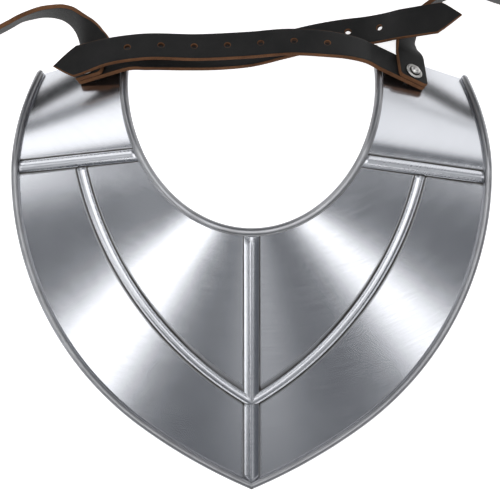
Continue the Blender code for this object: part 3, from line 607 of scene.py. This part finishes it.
class Route:
    """Smooth line through rows of (point, grain side), with its length and a frame at any length."""

    def __init__(self, rows):
        points = [row[0] for row in rows]
        sides = [row[1] for row in rows]
        count = len(points)
        chords = [(points[i + 1] - points[i]).length for i in range(count - 1)]
        slopes = slopes_through(points, chords)
        turns = slopes_through(sides, chords)
        self.places, self.normals, self.lengths = [points[0]], [rows[0][1]], [0.0]
        self.at_row = [0.0]
        for i in range(count - 1):
            for step in range(1, ROUTE_STEPS + 1):
                share = step / ROUTE_STEPS
                square, cube = share * share, share * share * share
                weights = (2 * cube - 3 * square + 1, (cube - 2 * square + share) * chords[i],
                           3 * square - 2 * cube, (cube - square) * chords[i])
                place = (points[i] * weights[0] + slopes[i] * weights[1]
                         + points[i + 1] * weights[2] + slopes[i + 1] * weights[3])
                normal = (sides[i] * weights[0] + turns[i] * weights[1]
                          + sides[i + 1] * weights[2] + turns[i + 1] * weights[3])
                self.lengths.append(self.lengths[-1] + (place - self.places[-1]).length)
                self.places.append(place)
                self.normals.append(normal.normalized())
            self.at_row.append(self.lengths[-1])
        self.length = self.lengths[-1]

    def direction(self, index):
        """Direction of the line at one of its places."""
        low, high = max(index - 1, 0), min(index + 1, len(self.places) - 1)
        return (self.places[high] - self.places[low]).normalized()

    def frame(self, length):
        """Place, direction across the strap and grain side, at a length along the line."""
        last = len(self.lengths) - 2
        index = min(max(bisect.bisect_right(self.lengths, length) - 1, 0), last)
        step = self.lengths[index + 1] - self.lengths[index]
        share = (length - self.lengths[index]) / step
        place = self.places[index].lerp(self.places[index + 1], share)
        held = min(max(share, 0.0), 1.0)
        along = self.direction(index).lerp(self.direction(index + 1), held).normalized()
        normal = self.normals[index].lerp(self.normals[index + 1], held)
        normal = (normal - along * normal.dot(along)).normalized()
        return place, normal.cross(along), normal


def laid_ahead(side, heading, normal):
    """Direction in a plane, by its plan angle from the plate's middle towards the back."""
    angle = math.radians(heading)
    ahead = Vector((-side * math.cos(angle), math.sin(angle), 0.0))
    return (ahead - normal * ahead.dot(normal)).normalized()


def seat_frame(side):
    """Straps' seat at the rivet, tilted so that the long strap runs straight over the neck roll."""
    across = side * RIVET_ACROSS
    row = side_value(side, RIVET_ROWS)
    normal = plate_normal(across, row)
    ahead = laid_ahead(side, side_value(side, LONG_HEADINGS), normal)
    tilt = math.radians(side_value(side, SEAT_TILTS))
    return (on_plate(across, row) + normal * SEAT_LIFT,
            ahead * math.cos(tilt) + normal * math.sin(tilt),
            normal * math.cos(tilt) - ahead * math.sin(tilt))


def layer_height(layer):
    """Height over the seat of the middle of the first or second strap."""
    return SHEET / 2 + (layer - 0.5) * LEATHER + layer * CLEARANCE


def short_ahead(side):
    heading = side_value(side, SHORT_HEADINGS)
    return laid_ahead(side, heading, seat_frame(side)[2])


def seat_rows(side, ahead, layer, shift, distances):
    """Rows of a strap that lies on the seat at the rivet, by distance from the rivet."""
    place, _, normal = seat_frame(side)
    aside = normal.cross(ahead) * -side
    base = place + normal * layer_height(layer) + aside * shift
    return [(base + ahead * distance, normal) for distance in distances]


def root_ends(side):
    """Skew of the straps' root ends, and their reach for a long and a short strap: flush corners."""
    skew = math.asin(seat_frame(side)[1].dot(short_ahead(side)))
    long_reach = STRAP_WIDTH / 2 / math.cos(skew)
    short_reach = (STRAP_WIDTH / 2 - RIVET_OFF_CENTRE) / math.cos(skew)
    return skew, long_reach, short_reach


# The folded end's way from the clasp's bar to the strap: share of the distance, share of the gap left.
FOLD_EASE = ((0.3, 0.85), (0.7, 0.15), (1.0, 0.0))
FOLD_EASED_AT = 0.72
BAR_STEPS = 6


def fold_rows(start, direction, normal):
    """Rows round the clasp's bar and back along the strap's flesh side."""
    radius = WIRE / 2 + 2 * CLEARANCE + LEATHER / 2
    bar = start - normal * radius
    rows = []
    for step in range(BAR_STEPS + 1):
        turn = math.pi * step / BAR_STEPS
        away = normal * math.cos(turn) + direction * math.sin(turn)
        rows.append((bar + away * radius, away))
    apart = LEATHER + CLEARANCE
    ease = radius * 2
    for share, left in FOLD_EASE:
        back = FOLD_RIVET_AT * FOLD_EASED_AT * share
        rows.append((start - direction * back - normal * (apart + (ease - apart) * left), -normal))
    for back in (FOLD_RIVET_AT, FOLD_BACK):
        rows.append((start - direction * back - normal * apart, -normal))
    return rows, bar


# Shares of a rounded root corner and of the two slightly bulged sides of a strap's point.
CORNER_TURNS = (0.0, 0.08, 0.29, 0.62, 1.0)
LONG_SIDE_SHARES = (1.0, 0.72, 0.45, 0.24, 0.1, 0.02)
LONG_SIDE_BULGE = 1.06
SHORT_SIDE_SHARES = (0.03, 0.13, 0.3, 0.55, 0.8, 1.0)
SHORT_SIDE_BULGE = 1.1
END_CORNER = 0.001


def strap_outline(start, end, skew, pointed):
    """Outline of a strap cut flat, its root end cut at a skew and its other end pointed or square."""
    half = STRAP_WIDTH / 2
    lean = math.tan(skew)
    outline = []
    for step, far in zip(CORNER_TURNS, CORNER_TURNS[::-1]):
        wide = half - far * ROOT_CORNER
        outline.append((start + step * ROOT_CORNER - wide * lean, -wide))
    if pointed:
        for share in LONG_SIDE_SHARES:
            wide = 1.0 - (1.0 - share) ** LONG_SIDE_BULGE
            outline.append((end - POINT_LONG_SIDE * share, -half * wide))
        outline.append((end, 0.0))
        for share in SHORT_SIDE_SHARES:
            wide = 1.0 - (1.0 - share) ** SHORT_SIDE_BULGE
            outline.append((end - POINT_SHORT_SIDE * share, half * wide))
    else:
        outline += [(end - END_CORNER, -half), (end, -half + END_CORNER),
                    (end, half - END_CORNER), (end - END_CORNER, half)]
    for step, far in zip(CORNER_TURNS[::-1], CORNER_TURNS):
        wide = half - far * ROOT_CORNER
        outline.append((start + step * ROOT_CORNER + wide * lean, wide))
    return outline


def close_points(loop, gap):
    """The loop with points at most this far apart."""
    points = []
    for here, there in zip(loop, loop[1:] + loop[:1]):
        count = max(1, int(math.dist(here, there) / gap + 0.999))
        for step in range(count):
            share = step / count
            points.append((here[0] + (there[0] - here[0]) * share,
                           here[1] + (there[1] - here[1]) * share))
    return np.array(points)


def drawn_in(loop, distance):
    """The loop moved to its left by a distance."""
    before = loop - np.roll(loop, 1, axis=0)
    after = np.roll(loop, -1, axis=0) - loop
    before /= np.linalg.norm(before, axis=1, keepdims=True)
    after /= np.linalg.norm(after, axis=1, keepdims=True)
    way = before + after
    way /= np.linalg.norm(way, axis=1, keepdims=True)
    square = np.sum(way * after, axis=1, keepdims=True)
    return loop + np.stack((-way[:, 1], way[:, 0]), 1) * distance / np.maximum(square, 0.6)


def inside(points, loop):
    """Which of these points lie inside the loop."""
    found = np.zeros(len(points), bool)
    for here, there in zip(loop, np.roll(loop, -1, axis=0)):
        crosses = (here[1] > points[:, 1]) != (there[1] > points[:, 1])
        rise = there[1] - here[1]
        if rise == 0:
            continue
        at = here[0] + (points[:, 1] - here[1]) * (there[0] - here[0]) / rise
        found ^= crosses & (points[:, 0] < at)
    return found


# The eased cut edge from grain to flesh side: how far in, and height as a share of the thickness.
EDGE_PROFILE = ((0.00065, 0.5), (0.0003, 0.468), (0.00006, 0.37), (0.0, 0.2), (0.0, -0.2),
                (0.00006, -0.37), (0.0003, -0.468), (0.00065, -0.5))
CELL = 0.0016
EDGE_MARGIN = 0.0015
HOLE_MARGIN = 0.0013
HOLE_SIDES = 36
GRAIN_SIDE = 0.3
HOLE_WALL = 0.2


def strap_object(name, route, start, end, skew, holes, slots, pointed, look):
    """Strap with eased edges, laid along its route; raw is 1 on cut leather and flesh is 1 on its back."""
    outline = close_points(strap_outline(start, end, skew, pointed), CELL)
    loops = [outline]
    rims = []
    turns = np.arange(HOLE_SIDES) * math.tau / HOLE_SIDES
    for centre, across, radius, worn in holes:
        loops.append(np.stack((centre + radius * np.cos(turns), across - radius * np.sin(turns)), 1))
        if worn:
            rims.append((centre, across, radius))
    for centre, half_length, half_width in slots:
        corners = [(centre - half_length, -half_width), (centre - half_length, half_width),
                   (centre + half_length, half_width), (centre + half_length, -half_width)]
        loops.append(close_points(corners, CELL))
    rings = [[drawn_in(loop, inset) for inset, _ in EDGE_PROFILE] for loop in loops]
    faces_at = [ring_set[0] for ring_set in rings]
    low, high = outline.min(axis=0), outline.max(axis=0)
    fill = np.array([(x, y) for x in np.arange(low[0], high[0], CELL)
                     for y in np.arange(low[1] + CELL / 2, high[1], CELL)])
    kept = inside(fill, drawn_in(outline, EDGE_MARGIN))
    for loop in loops[1:]:
        middle = loop.mean(axis=0)
        reach = np.linalg.norm(loop - middle, axis=1).max() + HOLE_MARGIN
        kept &= np.linalg.norm(fill - middle, axis=1) > reach
    fill = fill[kept]
    for centre, across, radius in rims:
        wide = radius + RIM_WEAR
        ring = np.stack((centre + wide * np.cos(turns), across + wide * np.sin(turns)), 1)
        fill = np.concatenate((fill, ring))
    flat, edges = [], []
    for loop in faces_at:
        first = len(flat)
        flat += [Vector(point) for point in loop]
        edges += [(first + i, first + (i + 1) % len(loop)) for i in range(len(loop))]
    flat += [Vector(point) for point in fill]
    placed, _, faces, origins, _, _ = delaunay_2d_cdt(flat, edges, [], 0, 1e-8)
    spots = np.array([tuple(point) for point in placed])
    faces = np.array([tuple(face) for face in faces])
    middles = spots[faces].mean(axis=1)
    solid = inside(middles, faces_at[0])
    for loop in faces_at[1:]:
        solid &= ~inside(middles, loop)
    faces = faces[solid]
    index_of = {}
    for index, sources in enumerate(origins):
        for source in sources:
            index_of[source] = index
    points, raw, flesh = [], [], []

    def add(spot, height, cut):
        place, aside, normal = route.frame(spot[0])
        points.append(place + aside * spot[1] + normal * (height * LEATHER))
        raw.append(cut)
        flesh.append(0.0 if height > GRAIN_SIDE else 1.0)
        return len(points) - 1

    for height in (0.5, -0.5):
        for spot in spots:
            worn = 0.0
            for centre, across, radius in rims:
                away = math.dist(spot, (centre, across)) - radius
                worn = max(worn, 1.0 - away / RIM_WEAR)
            add(spot, height, worn)
    shift = len(spots)
    built = [tuple(int(v) for v in face) for face in faces]
    built += [tuple(int(v) + shift for v in face[::-1]) for face in faces]
    first = 0
    for number, ring_set in enumerate(rings):
        count = len(ring_set[0])
        rows = [[index_of[first + i] for i in range(count)]]
        for (inset, height), loop in list(zip(EDGE_PROFILE, ring_set))[1:-1]:
            cut = 1.0 if number == 0 or height > GRAIN_SIDE else HOLE_WALL
            rows.append([add(spot, height, cut) for spot in loop])
        rows.append([shift + index_of[first + i] for i in range(count)])
        for upper, lower in zip(rows, rows[1:]):
            for i in range(count):
                j = (i + 1) % count
                built.append((upper[i], lower[i], lower[j], upper[j]))
        first += count
    made = mesh_object(name, points, built, look, angle=60.0)
    for key, values in (("raw", raw), ("flesh", flesh)):
        layer = made.data.attributes.new(key, "FLOAT", "POINT")
        layer.data.foreach_set("value", values)
    return made


FLESH = (0.012, 0.007, 0.005, 1.0)
GRAIN_DEPTH = 0.0006
CREASE_DEPTH = 0.00018
FIBRE_DEPTH = 0.0002


def belt_leather(name):
    """Black dyed grain with fine creases and scuffs; brown fibres where it is cut or raw."""
    n = Nodes(name)
    place = n.add("TexCoord").outputs["Object"]
    raw = n.add("Attribute", {"attribute_name": "raw"}).outputs["Fac"]
    flesh = n.add("Attribute", {"attribute_name": "flesh"}).outputs["Fac"]
    cells = n.add("TexVoronoi", {"feature": "DISTANCE_TO_EDGE"}, Vector=place, Scale=1500.0)
    grain = n.math("MINIMUM", cells.outputs["Distance"], 0.12)
    creases = n.noise(place, 260.0, 6.0, 0.7)
    patches = n.noise(place, 38.0, 5.0, 0.6)
    fibres = n.noise(place, 1900.0, 3.0, 0.8)
    black = n.ramp(patches, ((0.35, (0.0045, 0.0045, 0.0045)), (0.7, (0.011, 0.0105, 0.01))))
    brown = n.ramp(n.math("ADD", n.math("MULTIPLY", fibres, 0.5), n.math("MULTIPLY", patches, 0.5)),
                   ((0.36, (0.045, 0.019, 0.008)), (0.62, (0.18, 0.082, 0.038))))
    torn = n.math("ADD", raw, n.math("MULTIPLY", n.math("SUBTRACT", creases, 0.5), 0.9))
    torn = n.math("MULTIPLY", n.math("SUBTRACT", torn, 0.45), 6.0, clamp=True)
    share = n.math("MAXIMUM", torn, flesh)
    colour = n.add("Mix", {"data_type": "RGBA"}, _0=share, _6=black, _7=brown).outputs[2]
    back = n.math("MULTIPLY", flesh, n.math("SUBTRACT", 1.0, raw), clamp=True)
    colour = n.add("Mix", {"data_type": "RGBA"}, _0=n.math("MULTIPLY", back, 0.8), _6=colour,
                   _7=FLESH).outputs[2]
    n.join(colour, n.shader.inputs["Base Color"])
    gloss = n.math("ADD", 0.44, n.math("MULTIPLY", patches, 0.2))
    n.join(n.math("ADD", gloss, n.math("MULTIPLY", share, 0.35)), n.shader.inputs["Roughness"])
    n.shader.inputs["Specular IOR Level"].default_value = 0.2
    height = n.math("ADD", n.math("MULTIPLY", grain, GRAIN_DEPTH),
                    n.math("MULTIPLY", creases, CREASE_DEPTH))
    height = n.math("ADD", height, n.math("MULTIPLY", fibres, n.math("MULTIPLY", share, FIBRE_DEPTH)))
    bump = n.add("Bump", Height=height, Strength=0.5, Distance=1.0)
    n.join(bump.outputs[0], n.shader.inputs["Normal"])
    return n.made


black_leather = belt_leather("black_leather_dyed")


def build_long_strap(side, table, layers):
    """Long strap from its seat along its route to the point, over this many layers of leather."""
    seats = seat_rows(side, seat_frame(side)[1], 1, RIVET_OFF_CENTRE, LONG_SEAT)
    route = Route(seats + route_rows(table, lambda lean: layers * (LEATHER + CLEARANCE)))
    skew, reach, _ = root_ends(side)
    start = route.at_row[1] - reach + RIVET_OFF_CENTRE * math.tan(skew)
    end = start + side_value(side, LONG_STRAPS)
    holes = [(route.at_row[1], side * RIVET_OFF_CENTRE, SHANK / 2 + CLEARANCE, False)]
    first = end - side_value(side, POINTS_TO_HOLE)
    for index in range(HOLE_COUNT):
        holes.append((first - index * HOLE_PITCH, 0.0, HOLE / 2, True))
    name = side_value(side, ("strap_long_right", "strap_long_left"))
    made = strap_object(name + "_leather", route, start, end, -side * skew, holes, [], True,
                        black_leather)
    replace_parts(made, name)


build_long_strap(1, LONG_RIGHT_ROUTE, 3)
build_long_strap(-1, LONG_LEFT_ROUTE, 1)


def build_short_strap(side, table):
    """Short strap over the long one's root, and the fold that holds the clasp; returns the clasp's place."""
    rows = seat_rows(side, short_ahead(side), 2, 0.0, SHORT_SEAT)
    rows += route_rows(table, standing_height)
    last, before = rows[-1][0], rows[-2][0]
    direction = Vector((last.x - before.x, last.y - before.y, 0.0)).normalized()
    normal = Vector((direction.y, -direction.x, 0.0)) * side
    seat_height = STRAP_WIDTH / 2 + WIRE + 3 * CLEARANCE
    start = Vector((last.x, last.y, seat_height)) + direction * RUN_TO_CLASP
    for share in (0.45, 1.0):
        place = last.lerp(start - direction * FOLD_RIVET_AT * 1.5, share)
        height = last.z + (seat_height - last.z) * min(1.0, share * 1.2)
        rows.append((Vector((place.x, place.y, height)), normal))
    rows.append((start - direction * FOLD_RIVET_AT, normal))
    first_leg = len(rows) - 1
    folded, bar = fold_rows(start, direction, normal)
    apex = len(rows) + BAR_STEPS // 2
    rows += folded
    route = Route(rows)
    skew, _, reach = root_ends(side)
    shank = FOLD_SHANK / 2 + CLEARANCE
    holes = [(route.at_row[1], 0.0, SHANK / 2 + CLEARANCE, False),
             (route.at_row[first_leg], 0.0, shank, False), (route.at_row[-2], 0.0, shank, False)]
    slots = [(route.at_row[apex], SLOT_HALF_LENGTH, PRONG / 2 + 2 * CLEARANCE)]
    name = side_value(side, ("strap_short_right", "strap_short_left"))
    made = strap_object(name + "_leather", route, route.at_row[1] - reach, route.length,
                        side * skew, holes, slots, False, black_leather)
    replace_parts(made, name)
    return start, bar, direction, normal


clasp_places = (build_short_strap(1, SHORT_RIGHT_ROUTE), build_short_strap(-1, SHORT_LEFT_ROUTE))


# The clasps are plain frames bent from steel wire, each with one wire prong whose eye turns on the back
# bar. A strap end is folded round that bar and held by a small two-headed rivet.

CLASP_LENGTH = 0.022
FOLD_HEAD = 0.0056
FOLD_HEAD_RISE = 0.0014
FOLD_HEAD_EDGE = 0.0002
FRAME_BEND = 0.0026
EYE_RADIUS = 0.0029
PRONG_SHARES = (0.3, 0.55, 0.8, 0.95, 1.04)
PRONG_DIP = 0.1
WIRE_SIDES = 16

fitting_steel = polished_steel("fitting_steel_rubbed", (0.6, 0.59, 0.57), 0.32, 0.00006)


def wire_points(corners, wire, closed):
    """Points and faces of round wire bent through corner points."""
    sides = WIRE_SIDES
    count = len(corners)
    points, faces = [], []
    for index, place in enumerate(corners):
        before = corners[index - 1] if index or closed else place
        after = corners[(index + 1) % count] if index + 1 < count or closed else place
        along = (after - before).normalized()
        aside = along.orthogonal().normalized() if index == 0 else aside - along * aside.dot(along)
        aside.normalize()
        square = along.cross(aside)
        for step in range(sides):
            turn = math.tau * step / sides
            points.append(place + (aside * math.cos(turn) + square * math.sin(turn)) * wire / 2)
    for index in range(count if closed else count - 1):
        after = (index + 1) % count
        for step in range(sides):
            beside = (step + 1) % sides
            faces.append((index * sides + step, index * sides + beside,
                          after * sides + beside, after * sides + step))
    if not closed:
        faces.append(tuple(range(sides - 1, -1, -1)))
        faces.append(tuple((count - 1) * sides + step for step in range(sides)))
    return points, faces


def build_clasp(side):
    """Wire frame round the strap's end and the prong with its eye on the back bar."""
    _, bar, direction, normal = side_value(side, clasp_places)
    upright = Vector((0.0, 0.0, 1.0))
    half = STRAP_WIDTH / 2 + WIRE / 2 + 3 * CLEARANCE
    far, high = CLASP_LENGTH - FRAME_BEND, half - FRAME_BEND
    corners = []
    for centre_along, centre_up, first in ((far, -high, -90), (far, high, 0),
                                           (FRAME_BEND, high, 90), (FRAME_BEND, -high, 180)):
        for step in range(7):
            turn = math.radians(first + 15 * step)
            corners.append(bar + direction * (centre_along + FRAME_BEND * math.cos(turn))
                           + upright * (centre_up + FRAME_BEND * math.sin(turn)))
    points, faces = wire_points(corners, WIRE, True)
    prong = []
    for step in range(9):
        turn = math.radians(-72 + 22 * step)
        prong.append(bar + direction * (math.sin(turn) * EYE_RADIUS)
                     + normal * (math.cos(turn) * EYE_RADIUS))
    for share in PRONG_SHARES:
        rise = EYE_RADIUS * (1.0 - PRONG_DIP * share)
        prong.append(bar + direction * (CLASP_LENGTH * share) + normal * rise)
    more, more_faces = wire_points(prong, PRONG, False)
    faces += [tuple(corner + len(points) for corner in face) for face in more_faces]
    name = side_value(side, ("buckle_right", "buckle_left"))
    made = mesh_object(name + "_wire", points + more, faces, fitting_steel)
    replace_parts(made, name)


build_clasp(1)
build_clasp(-1)


TURNED_SIDES = 56


def turned_object(name, origin, normal, profile, look, shade_within=0.0):
    """Solid turned about a normal, from (radius, height) pairs; darkened with painted shade inside the
    radius given as the last argument.
    """
    sides = TURNED_SIDES
    aside = normal.orthogonal().normalized()
    ahead = normal.cross(aside)
    points, rings = [], []
    for radius, height in profile:
        count = 1 if radius == 0 else sides
        rings.append(list(range(len(points), len(points) + count)))
        for step in range(count):
            turn = math.tau * step / sides
            points.append(origin + normal * height
                          + (aside * math.cos(turn) + ahead * math.sin(turn)) * radius)
    pairs = list(zip(rings, rings[1:]))
    if profile[0][0] > 0:
        pairs.append((rings[-1], rings[0]))
    faces = []
    for low, high in pairs:
        for step in range(sides):
            after = (step + 1) % sides
            corners = [low[step % len(low)], low[after % len(low)],
                       high[after % len(high)], high[step % len(high)]]
            faces.append(tuple(dict.fromkeys(corners)))
    made = mesh_object(name, points, faces, look)
    # Rings inside that radius get painted shade through the crease attribute.
    inner = []
    for (radius, _), ring in zip(profile, rings):
        inner += [1.0 if 0 < radius <= shade_within else 0.0] * len(ring)
    made.data.attributes.new("crease", "FLOAT", "POINT").data.foreach_set("value", inner)
    return made


def dome(radius, base, rise, steps=8):
    """Rounded head from its rim at the base to the pole."""
    profile = []
    for step in range(steps):
        turn = math.radians(90 * step / steps)
        profile.append((radius * math.cos(turn) ** 0.8, base + rise * math.sin(turn)))
    return profile + [(0.0, base + rise)]


for side in (1, -1):
    start, _, direction, normal = side_value(side, clasp_places)
    middle = start - direction * FOLD_RIVET_AT - normal * (LEATHER + CLEARANCE) / 2
    grip = LEATHER + CLEARANCE * 1.5
    half_head, shank = FOLD_HEAD / 2, FOLD_SHANK / 2
    upper = dome(half_head, grip + FOLD_HEAD_EDGE, FOLD_HEAD_RISE - FOLD_HEAD_EDGE)
    lower = [(radius, -height) for radius, height in upper[::-1]]
    name = side_value(side, ("buckle_rivet_right", "buckle_rivet_left"))
    profile = lower + [(half_head * 0.96, -grip), (shank, -grip), (shank, grip),
                       (half_head * 0.96, grip)] + upper
    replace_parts(turned_object(name + "_domed", middle, normal, profile, fitting_steel), name)


# Each arm's rivet is steel, with a domed head over a loose round washer. Its shank runs through both
# straps and the plate, and it is peened flat under the plate.

HEAD = 0.0074
HEAD_RISE = 0.003
TAIL = 0.007
TAIL_RISE = 0.0012
WASHER = 0.0135
WASHER_THICKNESS = 0.0011
# Radii beyond the head's edge of a shallow groove round its foot. The washer is darkened with painted shade
# from the groove's inner radius inwards.
SHADED_GROOVE = (0.0004, 0.0009)

for side in (1, -1):
    place, _, normal = seat_frame(side)
    top = layer_height(2) + LEATHER / 2 + CLEARANCE
    inner = SHANK / 2 + CLEARANCE
    crest = top + WASHER_THICKNESS
    ease = WASHER_THICKNESS * 0.35
    profile = [(inner, top), (WASHER / 2 - ease * 0.5, top), (WASHER / 2, top + ease * 0.5),
               (WASHER / 2, crest - ease), (WASHER / 2 - ease * 0.3, crest - ease * 0.3),
               (WASHER / 2 - ease, crest), (HEAD / 2 + SHADED_GROOVE[1], crest),
               (HEAD / 2 + SHADED_GROOVE[0], crest - ease), (inner, crest - ease)]
    name = side_value(side, ("washer_right", "washer_left"))
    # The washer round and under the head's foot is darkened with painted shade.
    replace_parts(turned_object(name + "_turned", place, normal, profile, fitting_steel,
                              shade_within=HEAD / 2 + SHADED_GROOVE[0]), name)
    seat = crest + CLEARANCE
    tilt = math.radians(side_value(side, SEAT_TILTS))
    low = -SEAT_LIFT - SHEET / 2 - TAIL / 2 * math.sin(tilt) - 2 * CLEARANCE
    profile = [(0.0, low - TAIL_RISE), (TAIL * 0.4, low - TAIL_RISE),
               (TAIL * 0.48, low - TAIL_RISE * 0.75), (TAIL / 2, low - TAIL_RISE * 0.4),
               (TAIL / 2, low), (SHANK / 2, low), (SHANK / 2, seat), (HEAD / 2 * 0.97, seat)]
    profile += dome(HEAD / 2, seat + HEAD_RISE * 0.12, HEAD_RISE * 0.88, steps=12)
    name = side_value(side, ("rivet_right", "rivet_left"))
    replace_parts(turned_object(name + "_domed", place, normal, profile, fitting_steel), name)


# The surface is a plain white light table, which glows a little through its matt top. The light comes
# from soft boxes round the object, and the camera looks straight down on it.

FLOOR_REACH = 4.0
BOX_AIM = Vector((0.0, 0.0, 0.05))

floor_mesh = bpy.data.meshes.new("floor")
floor_mesh.from_pydata([(x * FLOOR_REACH, y * FLOOR_REACH, 0.0)
                        for x, y in ((-1, -1), (1, -1), (1, 1), (-1, 1))], [], [(0, 1, 2, 3)])
floor = bpy.data.objects.new("floor", floor_mesh)
bpy.context.scene.collection.objects.link(floor)
white = Nodes("white_surface")
white.shader.inputs["Base Color"].default_value = (0.9, 0.9, 0.9, 1.0)
white.shader.inputs["Roughness"].default_value = 0.9
white.shader.inputs["Emission Color"].default_value = (1.0, 1.0, 1.0, 1.0)
white.shader.inputs["Emission Strength"].default_value = 0.7
floor_mesh.materials.append(white.made)


# Soft boxes: turn from +X and tilt from the vertical in degrees, distance and size, brightness.
BOX_COLUMNS = ("turn", "tilt", "distance", "width", "height", "brightness")
SOFT_BOXES = {
    "box_front_left": (-120.8, 42, 2.2, 0.42, 0.9, 3.2),
    "box_front_right": (-54.5, 41, 2.2, 0.30, 0.9, 2.8),
    "box_front_fill": (-88, 44, 2.2, 0.3, 0.7, 0.65),
    "box_arm_left": (131, 61, 2.2, 0.8, 1.6, 1.75),
    "box_arm_right": (49, 66, 2.2, 0.8, 1.8, 1.25),
    "box_side_left": (-178, 50, 2.2, 0.8, 1.0, 2.0),
    "box_side_right": (-2, 52, 2.2, 0.8, 0.9, 2.0),
    "box_low_left": (-146, 70, 2.2, 0.9, 0.7, 2.5),
    "box_low_right": (-68, 65, 2.2, 0.7, 0.6, 0.75),
    "box_top": (90, 3, 2.4, 2.2, 2.2, 2.1),
}

for name, values in SOFT_BOXES.items():
    box = dict(zip(BOX_COLUMNS, values))
    turn, lean = math.radians(box["turn"]), math.radians(box["tilt"])
    away = Vector((math.sin(lean) * math.cos(turn), math.sin(lean) * math.sin(turn), math.cos(lean)))
    light = bpy.data.lights.new(name, "AREA")
    light.shape = "RECTANGLE"
    light.size, light.size_y = box["width"], box["height"]
    light.energy = box["brightness"] * math.pi * box["width"] * box["height"]
    made = bpy.data.objects.new(name, light)
    made.location = BOX_AIM + away * box["distance"]
    across = Vector((-math.sin(turn), math.cos(turn), 0.0))
    made.rotation_euler = Matrix((across, away.cross(across), away)).transposed().to_euler()
    bpy.context.scene.collection.objects.link(made)

world = bpy.data.worlds.new("studio")
bpy.context.scene.world = world
world.use_nodes = True
world.node_tree.nodes["Background"].inputs["Color"].default_value = (0.88, 0.95, 1.08, 1.0)
world.node_tree.nodes["Background"].inputs["Strength"].default_value = 0.12

camera_data = bpy.data.cameras.new("camera")
camera_data.lens = 141.2
camera_data.sensor_width = 36.0
camera = bpy.data.objects.new("camera", camera_data)
camera.location = (-0.00463, -0.00764, 1.5)
camera.rotation_euler = (0.0, 0.0, 0.0)
bpy.context.scene.collection.objects.link(camera)
bpy.context.scene.camera = camera
bpy.context.scene.view_settings.view_transform = "Standard"
